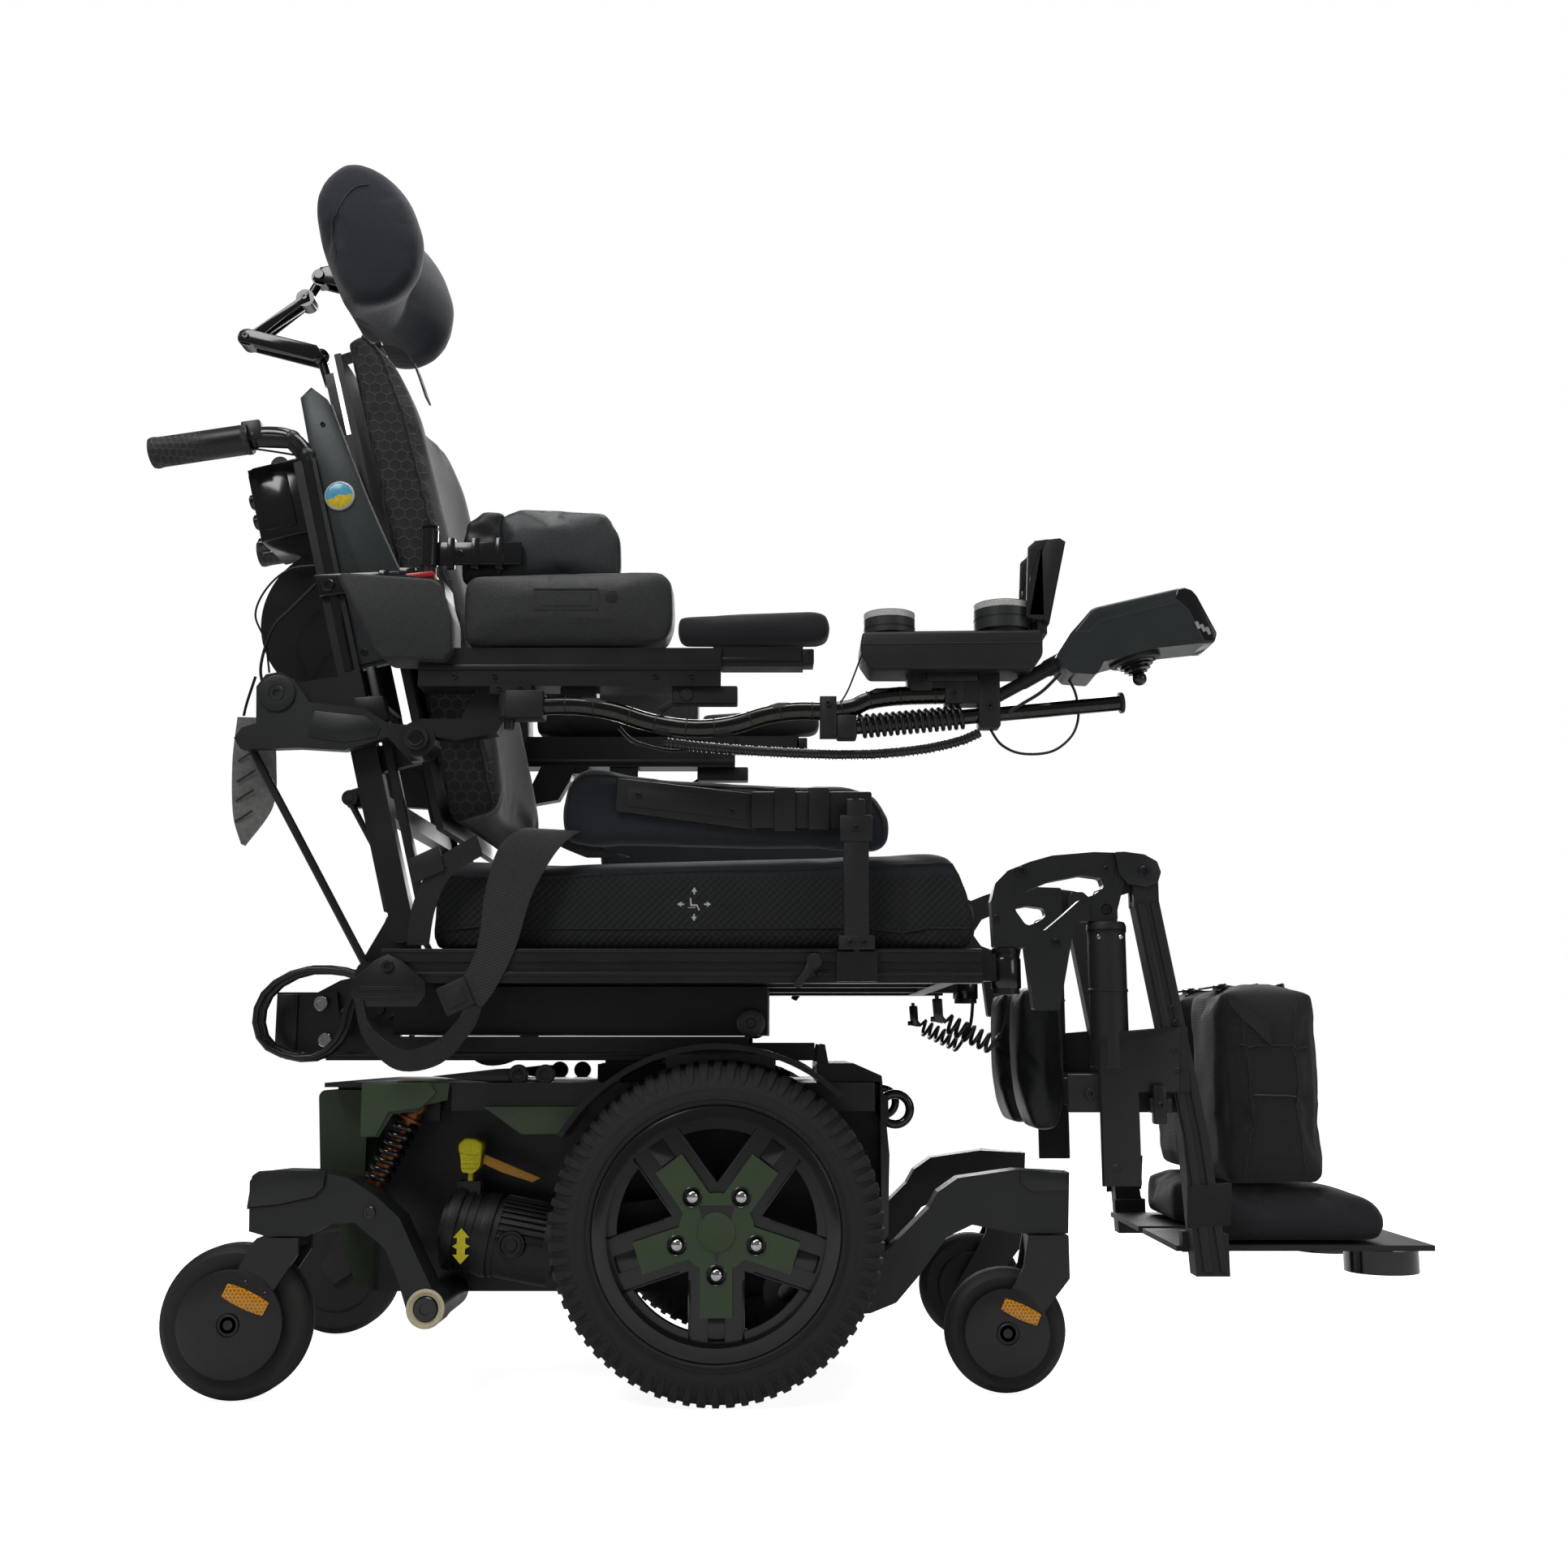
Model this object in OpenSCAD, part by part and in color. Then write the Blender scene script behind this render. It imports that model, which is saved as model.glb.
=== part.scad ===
// Mid-wheel-drive power wheelchair with lift, tilt, recline and powered leg rests.
// Millimetres, +X forward, +Y to the user's left, +Z up, origin on the floor under the middle of the chair.

/* [Drive wheels] */
// position of the drive axle along the chair
axle_x = -62; // [-80:1:-40]
// drive tyre outer radius
wheel_r = 178; // [150:1:215]
// drive tyre section width
tyre_w = 75; // [55:1:90]
// distance between the two drive wheel centre planes
drive_track = 444; // [430:1:560]
// radius of the tyre seat on the rim
rim_r = 124; // [90:1:140]
// radius of the output shaft that carries the wheel
shaft_r = 12.5; // [8:0.5:16]
// gap between tyre and fender
fender_gap = 12; // [8:1:30]

/* [Casters] */
// rear caster wheel radius
rear_caster_r = 81; // [65:1:90]
// front caster wheel radius
front_caster_r = 66; // [55:1:76]
// swivel stem radius of all casters
stem_r = 10; // [7:0.5:13]
// swivel stem position of the rear casters from the drive axle
rear_stem_x = -470; // [-520:1:-450]
// swivel stem position of the front casters from the drive axle
front_stem_x = 357; // [330:1:400]
// how far each caster axle trails its stem
caster_trail = 45; // [30:1:50]

/* [Fits] */
// radial clearance of a running fit
run_gap = 0.05; // [0.02:0.01:0.1]
// radius of the main hinge pins
pin_r = 8; // [5:0.5:11]
// radius of the small link pins
link_pin_r = 5; // [3:0.5:6]
// gap between plates that slide or turn past each other
side_gap = 0.5; // [0.3:0.1:0.8]

/* [Lift and tilt] */
// outside width of the square outer lift column
column_w = 84; // [70:1:100]
// wall of each lift column tube
column_t = 4; // [3:0.5:6]
// height of the slide rail top above the floor
track_top = 375; // [370:1:400]

/* [Seat] */
// width of the seat cushion
seat_w = 444; // [400:1:540]
// length of the seat cushion
seat_l = 625; // [500:1:660]
// thickness of the seat cushion
seat_t = 112; // [70:1:130]
// angle of the back from upright
back_lean = 14; // [5:1:20]
// length of the back cushion
back_l = 640; // [500:1:700]
// thickness of the back cushion
back_t = 70; // [40:1:85]

/* [Arm rests and controls] */
// width of the arm pads
pad_w = 62; // [50:1:80]
// radius of the segmented control tube
segment_tube_r = 9.5; // [7:0.5:12]
// radius of the straight control tube
arm_tube_r = 8; // [6:0.5:10]
// rear push switch radius
rear_button_r = 28; // [20:1:34]
// front push switch radius
front_button_r = 32; // [20:1:36]

/* [Leg rests] */
// thickness of the leg hanger casting
hanger_t = 24; // [18:1:28]
// width of each foot plate
foot_w = 166; // [120:1:172]
// length of each foot plate
foot_l = 283; // [220:1:320]

/* [Hidden] */

fine = 96;
mid = 40;
wheel_y = drive_track / 2;
wheel_in = wheel_y - tyre_w / 2;
wheel_out = wheel_y + tyre_w / 2;
sw = seat_w / 2;              // half the seat width
rail_y0 = sw - 17;            // inner face of the seat rails
rail_y1 = sw + 13;            // outer face of the seat rails
cane_y0 = sw - 36;            // back canes
cane_y1 = sw - 18;
link_y0 = sw - 6;             // arm link plates
link_y1 = sw + 8;
pad_y0 = sw + 10;             // arm pads and everything that flips with them
pad_y1 = pad_y0 + pad_w;
ctl_y = sw + 54;              // centre plane of the hand controls
leg_y = sw - 22;              // centre plane of each leg hanger
leg_in = leg_y - 188;         // inner side of each foot plate
seat_z = 475;                 // top of the seat pan
seat_x0 = -330;               // back edge of the seat cushion
axle_gap = 0.05;
recline_p = [-355, 0, 503];
tilt_p = [-457, 0, 419];
link_p = [-498, 0, 762];      // rear pivot of the arm link, on the back
elbow_p = [-333, 0, 705];     // flip pivot of the arm rest
tail_p = [-532, 0, 711];      // top of the levelling rod
rod_p = tail_p - (link_p - recline_p); // bottom of the levelling rod, on the seat
leg_pivot = [471, 0, 562];
hinge_x = 317;
rear_pivot = [-308, 0, 97];
front_pivot = [75, 0, 108];
shock_eye = [-392, 0, 205];
shock_top = [-340, 0, 306];
shock_y = 160;
rear_arm_y = 200;
front_arm_y = 164;
lateral_x = -338;
stick_p = [454, 0, 796];

// ---- helpers ----
module at_axle() { translate([axle_x, 0, 0]) children(); }
module left() { mirror([0, 1, 0]) children(); }
module pair() { children(); mirror([0, 1, 0]) children(); }
module slab(x0, x1, y0, y1, z0, z1) { translate([x0, y0, z0]) cube([x1 - x0, y1 - y0, z1 - z0]); }
// cylinder across the chair, on the right-hand side, from inner distance a to outer distance b
module ycyl(x, z, a, b, r, f = mid) { translate([x, -a, z]) rotate([90, 0, 0]) cylinder(r = r, h = b - a, $fn = f); }
module zcyl(x, y, z0, z1, r, f = mid) { translate([x, y, z0]) cylinder(r = r, h = z1 - z0, $fn = f); }
// plate in the side view, on the right-hand side, from inner distance a to outer distance b
module side(pts, a, b) { translate([0, -a, 0]) rotate([90, 0, 0]) linear_extrude(b - a) polygon(pts); }
module round_side(pts, r, a, b) {
  translate([0, -a, 0]) rotate([90, 0, 0]) linear_extrude(b - a) offset(r) offset(-r) polygon(pts);
}
module rod(p, q, r, f = mid) {
  d = q - p;
  translate(p) rotate([0, acos(d[2] / norm(d)), atan2(d[1], d[0])]) cylinder(r = r, h = norm(d), $fn = f);
}
module bent_tube(pts, r) {
  for (i = [0 : len(pts) - 2]) rod(pts[i], pts[i + 1], r);
  for (i = [1 : len(pts) - 2]) translate(pts[i]) sphere(r = r * 1.1, $fn = mid);
}
// swept cord: rings of n points square to the route
function unit(v) = v / norm(v);
function heading(p, i) = unit(p[min(i + 1, len(p) - 1)] - p[max(i - 1, 0)]);
function ring(c, d, r, n) = let (u = unit(cross(d, abs(d[1]) > 0.9 ? [1, 0, 0] : [0, 1, 0])), v = cross(d, u))
  [for (k = [0 : n - 1]) c + r * cos(k * 360 / n) * u + r * sin(k * 360 / n) * v];
module cord(p, r, n = 8) {
  m = len(p);
  polyhedron(
    points = [for (i = [0 : m - 1]) each ring(p[i], heading(p, i), r, n)],
    faces = concat([[for (k = [0 : n - 1]) k]], [[for (k = [n - 1 : -1 : 0]) (m - 1) * n + k]],
      [for (i = [0 : m - 2]) for (k = [0 : n - 1]) [i * n + k, (i + 1) * n + (k + 1) % n, i * n + (k + 1) % n]],
      [for (i = [0 : m - 2]) for (k = [0 : n - 1]) [i * n + k, (i + 1) * n + k, (i + 1) * n + (k + 1) % n]]));
}
function mix(a, b, t) = a * (1 - t) + b * t;
// corner-cut smoothing of a route of hand-chosen points
function chaikin(p) = [p[0], for (i = [0 : len(p) - 2]) each [mix(p[i], p[i + 1], 0.25), mix(p[i], p[i + 1], 0.75)],
  p[len(p) - 1]];
// frame of the back: z runs up the back, x runs forward
module on_back() { translate(recline_p) rotate([0, -back_lean, 0]) children(); }

// ---- powered base ----
module chassis_frame() color([0.07, 0.07, 0.08]) at_axle() {
  difference() {
    union() {
      // side plates of the battery bay
      pair() slab(-392, 180, -91, -86, 95, 327);
      // deck over the whole base
      slab(-440, 172, -176, 176, 326, 331);
      // box beams under the deck
      pair() slab(-298, 172, -176, -150, 300, 326);
      pair() slab(-440, -300, -120, -100, 300, 326);
      slab(-440, -420, -120, 120, 300, 326);
      pair() slab(-298, -286, -150, -91, 300, 326);
      pair() slab(-30, -18, -150, -91, 300, 326);
      pair() slab(160, 172, -150, -91, 300, 326);
      // inner ears of the shock mounts
      pair() slab(-372, -318, -141, -136, 288, 326);
      pair() slab(-372, -318, -136, -120, 300, 326);
      // motor shelves
      pair() slab(-150, -60, -104, -91, 120, 235);
      // swing arm shafts
      pair() ycyl(rear_pivot[0], rear_pivot[2], 91, 226, stem_r);
      pair() ycyl(rear_pivot[0], rear_pivot[2], 91, 178, 19);
      pair() ycyl(front_pivot[0], front_pivot[2], 91, 181, stem_r);
      pair() ycyl(front_pivot[0], front_pivot[2], 91, 144, 20);
    }
    translate([-110 - column_w / 2 - 0.2, -column_w / 2 - 0.2, 90]) cube([column_w + 0.4, column_w + 0.4, 300]);
  }
  // shock top pins
  pair() ycyl(shock_top[0], shock_top[2], 140, 175.5, 6);
  // fixed outer lift column
  difference() {
    slab(-110 - column_w / 2, -110 + column_w / 2, -column_w / 2, column_w / 2, 99, 350);
    slab(-110 - column_w / 2 + column_t, -110 + column_w / 2 - column_t,
      -column_w / 2 + column_t, column_w / 2 - column_t, 103, 351);
  }
}

module battery_box() color([0.06, 0.06, 0.06]) at_axle() difference() {
  slab(-400, 180, -85.5, 85.5, 95, 296);
  slab(-395.5, 175.5, -81, 81, 99, 297);
}

module batteries() color([0.25, 0.25, 0.27]) at_axle() {
  slab(-394, -156, -70, 70, 99, 290);
  slab(-64, 174, -70, 70, 99, 290);
}

module side_panels() color([0.16, 0.20, 0.13]) at_axle() {
  // rear shroud
  difference() {
    round_side([[-457, 322], [-401, 322], [-401, 178], [-448, 178]], 8, -138, 138);
    slab(-440.5, -400, -120.5, 120.5, 299.5, 330);
  }
  round_side([[-452, 177.9], [-401, 177.9], [-401, 96], [-425, 96]], 6, -64, 64);
  // green brackets over the shocks
  pair() side([[-397, 300], [-385, 331], [-300, 331], [-302, 312], [-330, 306], [-335, 300], [-362, 297], [-377, 272],
    [-397, 272]], 176, 181);
  // green wedge behind the fender
  pair() side([[-262, 304], [-172, 304], [-180, 276], [-215, 276]], 176, 180);
}

module drive_motors() color([0.08, 0.08, 0.09]) at_axle() pair() {
  difference() {
    union() {
      rod([-303, -138, 172], [-180, -138, 148], 43.5, fine);
      rod([-309, -138, 173.2], [-303, -138, 172], 34, fine);
      // ribbed end cap
      for (i = [0 : 4]) rod([-285 + 9 * i, -138, 168.5 - 1.76 * i], [-281 + 9 * i, -138, 167.7 - 1.76 * i], 45, fine);
      side([[-190, 190], [-60, 206], [-60, 150], [-190, 108]], 108, 172);
      ycyl(0, wheel_r, 108, 176, 46, fine);
      side([[-61, 206], [0, 222], [10, 134], [-61, 150]], 108, 172);
      // brake release socket
      slab(-294, -268, -150, -126, 190, 222);
    }
    slab(-290, -260, -144, -132, 200, 223);
  }
  // pin of the freewheel lever, then the output shaft
  ycyl(-281, 212, 126, 150, 3);
  ycyl(0, wheel_r, 176, wheel_y + 20, shaft_r);
  // mount foot that meets the shelf
  slab(-150, -60, -108, -104, 150, 200);
}

module lever() color([0.95, 0.85, 0.05]) at_axle() {
  difference() {
    union() {
      ycyl(-281, 212, 132.6, 143.4, 5.5);
      slab(-283.5, -278.5, -143.4, -132.6, 212, 232);
      round_side([[-290, 231], [-293, 256], [-284, 262], [-268, 259], [-270, 238], [-276, 231]], 4, 128, 148);
    }
    ycyl(-281, 212, 130, 150, 3 + run_gap);
  }
}
module freewheel_lever_right() { lever(); }
module freewheel_lever_left() { left() lever(); }

module body_trim() color([0.05, 0.05, 0.05]) at_axle() {
  // fenders over the drive wheels
  pair() intersection() {
    translate([0, -wheel_in - tyre_w - 3, wheel_r]) rotate([-90, 0, 0]) difference() {
      cylinder(r = wheel_r + fender_gap + 6, h = tyre_w + 10.5, $fn = fine);
      translate([0, 0, -1]) cylinder(r = wheel_r + fender_gap, h = tyre_w + 32, $fn = fine);
    }
    side([[0, wheel_r], [-400, wheel_r + 240], [-400, 800], [280, 800], [280, wheel_r + 300]], 0, 400);
  }
  // brackets from the deck to the fenders
  pair() slab(-60, 60, -wheel_in + 2.5, -148, 331, wheel_r + fender_gap + 172);
  // front cover
  difference() {
    round_side([[180.2, 96], [186, 96], [190, 250], [182, 338], [150, 352], [108, 352], [108, 331.2], [180.2, 331.2]], 1.2, -140, 140);
  }
  pair() side([[108, 352], [112, 374], [118, 373], [122, 352]], 120, 130);
  // tie-down loops
  pair() translate([198, -120, 300]) rotate([90, 0, 0]) rotate_extrude($fn = mid) translate([17, 0]) circle(r = 5, $fn = 24);
  pair() slab(184, 190, -128, -112, 284, 316);
}

module shock() color([0.12, 0.10, 0.09]) at_axle() {
  u = (shock_top - shock_eye) / norm(shock_top - shock_eye);
  e = shock_eye + [0, -shock_y, 0];
  difference() {
    union() {
      rod(e + 8 * u, e + 62 * u, 8);
      rod(e + 60 * u, e + 106 * u, 4.5);
      rod(e + 13 * u, e + 17 * u, 15.4);
      rod(e + 97 * u, e + 101 * u, 15.4);
      ycyl(shock_eye[0], shock_eye[2], shock_y - 9, shock_y + 9, 11);
      ycyl(shock_top[0], shock_top[2], shock_y - 9, shock_y + 9, 11);
    }
    ycyl(shock_eye[0], shock_eye[2], shock_y - 20, shock_y + 20, 6.05);
    ycyl(shock_top[0], shock_top[2], shock_y - 20, shock_y + 20, 6.05);
  }
  // coils
  for (i = [0 : 7]) translate(e + (21.5 + 10.2 * i) * u) rotate([0, acos(u[2]), 0])
    rotate_extrude($fn = mid) translate([12.3, 0]) circle(r = 3, $fn = 20);
}
module rear_shock_right() { shock(); }
module rear_shock_left() { left() shock(); }

// ---- wheels ----
module tyre() color([0.05, 0.05, 0.05]) at_axle() translate([0, -wheel_y, wheel_r]) rotate([90, 0, 0])
  rotate_extrude($fn = fine) polygon(let (h = tyre_w / 2, r = wheel_r, b = rim_r)
    [[b, -h + 5.7], [b + 7, -h + 5.7], [b + 9, -h + 2.5], [b + 24, -h], [r - 15, -h], [r - 6, -h + 4], [r - 1.5, -h + 15],
     [r, -h + 28], [r, h - 28], [r - 1.5, h - 15], [r - 6, h - 4], [r - 15, h], [b + 24, h], [b + 9, h - 2.5],
     [b + 7, h - 5.7], [b, h - 5.7]]);
module drive_tyre_right() { tyre(); }
module drive_tyre_left() { left() tyre(); }

module rim() at_axle() translate([0, -wheel_y, wheel_r]) rotate([90, 0, 0]) {
  h = tyre_w / 2;
  color([0.06, 0.06, 0.07]) difference() {
    union() {
      rotate_extrude($fn = fine) polygon([[rim_r - 8, -h + 2], [rim_r + 6.5, -h + 2], [rim_r + 6.5, -h + 5.5],
        [rim_r, -h + 5.5], [rim_r, h - 5.5], [rim_r + 6.5, h - 5.5], [rim_r + 6.5, h - 2], [rim_r - 8, h - 2]]);
      // dished disc with five windows
      translate([0, 0, 6]) linear_extrude(12) difference() {
        circle(r = rim_r - 7.9, $fn = fine);
        difference() {
          circle(r = rim_r - 18, $fn = fine);
          circle(r = 50, $fn = fine);
          for (a = [0 : 4]) rotate(54 + 72 * a) translate([20, -29.5]) square([rim_r, 59]);
        }
      }
      translate([0, 0, -h + 4]) cylinder(r = 44, h = h + 12, $fn = fine);
    }
    translate([0, 0, -h]) cylinder(r = shaft_r + run_gap, h = tyre_w, $fn = fine);
  }
  // five-arm hub cap
  color([0.13, 0.17, 0.11]) difference() {
    translate([0, 0, 18.05]) linear_extrude(9) union() {
      circle(r = 40, $fn = fine);
      for (a = [0 : 4]) rotate(54 + 72 * a) translate([0, -17]) square([87, 34]);
    }
    translate([0, 0, 10]) cylinder(r = shaft_r + 3, h = 14, $fn = fine);
    for (a = [0 : 4]) rotate(54 + 72 * a) translate([44, 0, 10]) cylinder(r = 10.4, h = 20, $fn = mid);
  }
  // wheel nuts
  color([0.8, 0.8, 0.82]) for (a = [0 : 4]) rotate(54 + 72 * a) translate([44, 0, 18.05]) {
    cylinder(r = 7, h = 6, $fn = 6);
    translate([0, 0, 5]) cylinder(r = 5.4, h = 5, $fn = mid);
  }
}
module drive_rim_right() { rim(); }
module drive_rim_left() { left() rim(); }

module caster_wheel(x, y, r, w) color([0.09, 0.09, 0.09]) at_axle() translate([x, -y, r]) rotate([90, 0, 0])
  rotate_extrude($fn = fine) polygon([[7 + run_gap, -w / 2], [r * 0.62, -w / 2], [r * 0.66, -w / 2 + 3], [r - 9, -w / 2 + 1],
    [r - 3, -w / 2 + 5], [r, -w / 2 + 12], [r, w / 2 - 12], [r - 3, w / 2 - 5], [r - 9, w / 2 - 1], [r * 0.66, w / 2 - 3],
    [r * 0.62, w / 2], [7 + run_gap, w / 2]]);
module caster_wheel_rear_right() { caster_wheel(rear_stem_x - caster_trail, rear_arm_y, rear_caster_r, 40); }
module caster_wheel_rear_left() { left() caster_wheel_rear_right(); }
module caster_wheel_front_right() { caster_wheel(front_stem_x - caster_trail, front_arm_y, front_caster_r, 34); }
module caster_wheel_front_left() { left() caster_wheel_front_right(); }

// x,y stem; r wheel; w wheel width; top underside of the swing arm
module fork(x, y, r, w, top) color([0.06, 0.06, 0.06]) at_axle() {
  ax = x - caster_trail;
  a = y - w / 2 - 7;
  b = y + w / 2 + 2;
  crown = 2 * r - 1.5;
  zcyl(x, -y, crown + 2, top + 46, stem_r);
  difference() {
    union() {
      slab(x - 20, x + 24, -b - 5, -a, crown, top - 1.5);
      for (s = [a, b]) side([[x - 26, crown + 3], [x - 20, top - 1.5], [x + 24, top - 1.5], [x + 24, crown - 8],
        [ax + 20, r - 4], [ax, r - 16], [ax - 18, r + 6]], s, s + 5);
      // round side disc on the outside
      ycyl(ax, r, b + 1, b + 6, r * 0.69, fine);
      ycyl(ax, r, b + 1, b + 9, 11);
    }
  }
  // wheel axle
  ycyl(ax, r, a, b + 5, 7);
}
module caster_fork_rear_right() { fork(rear_stem_x, rear_arm_y, rear_caster_r, 40, 171); }
module caster_fork_rear_left() { left() caster_fork_rear_right(); }
module caster_fork_front_right() { fork(front_stem_x, front_arm_y, front_caster_r, 34, 169); }
module caster_fork_front_left() { left() caster_fork_front_right(); }

module rear_arm() color([0.07, 0.07, 0.08]) at_axle() {
  difference() {
    union() {
      side([[-502, 228], [-497, 236], [-470, 239], [-425, 238], [-395, 231], [-365, 212], [-340, 190], [-320, 150],
        [-303, 118], [-290, 100], [-294, 82], [-312, 78], [-328, 92], [-340, 128], [-354, 158], [-387, 185], [-414, 184],
        [-438, 171], [-482, 171], [-500, 176]], rear_arm_y - 20, rear_arm_y + 24.5);
      ycyl(rear_pivot[0], rear_pivot[2], rear_arm_y - 20, rear_arm_y + 24.5, 20);
    }
    ycyl(rear_pivot[0], rear_pivot[2], 150, 240, stem_r + run_gap);
    zcyl(rear_stem_x, -rear_arm_y, 160, 171 + 52, stem_r + run_gap);
  }
  // shock eye pin
  ycyl(shock_eye[0], shock_eye[2], 150, rear_arm_y - 19.9, 6);
}
module rear_arm_right() { rear_arm(); }
module rear_arm_left() { left() rear_arm(); }

module front_arm() color([0.07, 0.07, 0.08]) at_axle() {
  difference() {
    union() {
      side([[100, 80], [165, 85], [193, 96], [217, 123], [249, 165], [277, 178], [325, 169], [382, 169], [385, 234],
        [326, 237], [262, 228], [240, 213], [230, 196], [186, 153], [150, 132], [90, 134], [60, 120], [56, 98], [70, 82]],
        front_arm_y - 18, front_arm_y + 16);
      ycyl(front_pivot[0], front_pivot[2], front_arm_y - 18, front_arm_y + 16, 27);
    }
    ycyl(front_pivot[0], front_pivot[2], 140, 190, stem_r + run_gap);
    zcyl(front_stem_x, -front_arm_y, 160, 169 + 52, stem_r + run_gap);
  }
}
module front_arm_right() { front_arm(); }
module front_arm_left() { left() front_arm(); }

// ---- lift and tilt ----
module square_tube(w, t, z0, z1) {
  difference() {
    slab(-110 - w / 2, -110 + w / 2, -w / 2, w / 2, z0, z1);
    slab(-110 - w / 2 + t, -110 + w / 2 - t, -w / 2 + t, w / 2 - t, z0 - 1, z1 + 1);
  }
}
mid_w = column_w - 2 * column_t - 2 * run_gap;
in_w = mid_w - 2 * column_t - 2 * run_gap;
module lift_middle_column() color([0.3, 0.3, 0.32]) at_axle() { square_tube(mid_w, column_t, 104, 351); }
module lift_platform() color([0.07, 0.07, 0.08]) at_axle() {
  square_tube(in_w, column_t, 106, 356);
  slab(-170, -50, -100, 100, 355, 361);
  slab(-440, -425, -100, 100, 355, 361);
  slab(80, 95, -100, 100, 355, 361);
  // slide rails
  pair() slab(-453, 106, -130, -100, 355, track_top);
}

module tilt_carriage() color([0.08, 0.08, 0.08]) at_axle() {
  y0 = 130 + side_gap;
  zt = track_top + 3;
  pair() {
    side([[-509, 364], [-509, 432], [-441, 432], [-436, 400], [-430, 382], [30, 382], [30, 357], [-470, 357], [-470, 364]],
      y0, y0 + 10);
    // runners over the rails
    slab(-440, -425, -y0 - 1, -104, track_top + 1, track_top + 7);
    slab(-100, -60, -y0 - 1, -124.5, track_top + 1, 382);
    // tilt pins with their bright heads
    ycyl(tilt_p[0], tilt_p[2], 114, y0 + 1, pin_r);
    ycyl(tilt_p[0], tilt_p[2], y0 + 9.9, y0 + 14, 7);
    ycyl(-451, 378, y0 + 9.9, y0 + 13, 7);
  }
  slab(-509, -501, -y0 - 1, y0 + 1, track_top + 5, 430);
}

module seat_frame() color([0.07, 0.07, 0.08]) at_axle() {
  difference() {
    union() {
      pair() {
        // grooved side rails
        difference() {
          slab(-368, 287, -rail_y1, -rail_y0, 439, 474);
          slab(-369, 288, -rail_y1 - 1, -rail_y1 + 3, 452, 462);
        }
        // tilt lugs
        side([[-470, 408], [-470, 430], [-440, 446], [-398, 455], [-385, 455], [-385, 440], [-420, 430], [-445, 405]],
          118, 130);
        // back pivot lugs with the levelling rod foot
        side([[-404, 439], [-404, 462], [-372, 520], [-340, 520], [-336, 452], [-336, 439]], cane_y0 - 9, cane_y0 - 1);
        slab(-404, -336, -rail_y0, -cane_y0 + 9, 439, 452);
        // leg hinge barrels
        slab(287, 305, -leg_y - 12, -leg_y + 12, 442, 472);
        slab(270, 287, -rail_y0, -leg_y + 12, 442, 472);
        zcyl(hinge_x, -leg_y, 428, 478, 15);
        // thigh pad sockets on the rails
        slab(128, 172, -rail_y1 - 12, -rail_y1, 440, 472);
      }
      slab(-404, -385, -rail_y0, rail_y0, 439, 455);
      slab(-336, -318, -rail_y0, rail_y0, 439, 470);
      slab(240, 260, -rail_y0, rail_y0, 439, 470);
      // pan under the cushion
      slab(-330, 290, -rail_y0 - 1, rail_y0 + 1, 471, seat_z);
      pair() slab(-320, 250, -100, -80, 439, 471);
    }
    pair() zcyl(hinge_x, -leg_y, 420, 480, pin_r + run_gap);
    pair() ycyl(tilt_p[0], tilt_p[2], 110, 135, pin_r + run_gap);
    pair() zcyl(150, -rail_y1 - 6, 430, 480, 5 + run_gap);
  }
  // case under the seat
  difference() {
    slab(-380, 52, -118, 118, 384, 439);
    slab(-377, 49, -115, 115, 387, 436);
  }
  pair() {
    ycyl(recline_p[0], recline_p[2], cane_y0 - 2, cane_y1, pin_r);
    ycyl(rod_p[0], rod_p[2], cane_y0 - 2, link_y0, link_pin_r);
    slab(20, 46, -126, -118, 390, 404);
    ycyl(33, 397, 125, 128, 12);
    // triangular tie-down bracket
    side([[-395, 440], [-372, 462], [-352, 468], [-320, 440], [-320, 414], [-395, 414]], rail_y1, rail_y1 + 3);
    ycyl(-359, 457, rail_y1 + 2.9, rail_y1 + 6, 7);
    // small clamp lever
    side([[95, 470], [110, 470], [108, 455], [90, 436], [84, 440], [98, 456]], rail_y1, rail_y1 + 8);
  }
}

module seat_cushion() color([0.12, 0.13, 0.15]) at_axle()
  round_side([[seat_x0, seat_z], [seat_x0 + seat_l, seat_z], [seat_x0 + seat_l, seat_z + 40],
    [seat_x0 + seat_l - 28, seat_z + seat_t], [seat_x0 + seat_l - 240, seat_z + seat_t - 4], [seat_x0 + 120, seat_z + seat_t - 12],
    [seat_x0 + 10, seat_z + seat_t - 8], [seat_x0, seat_z + seat_t - 30]], 14, -sw, sw);

module seat_belt() color([0.13, 0.13, 0.13]) at_axle() {
  pair() {
    side([[-262, 600], [-214, 600], [-216, 545], [-222, 493], [-243, 449], [-272, 412], [-299, 420], [-282, 450],
      [-268, 488], [-266, 537]], rail_y1 + 0.5, rail_y1 + 3);
    slab(-262, -214, -rail_y1 - 3, -sw + 70, 600, 602.5);
    // buckle
    side([[-312, 436], [-280, 450], [-268, 420], [-300, 406]], rail_y1 + 3, rail_y1 + 8);
  }
}

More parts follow.
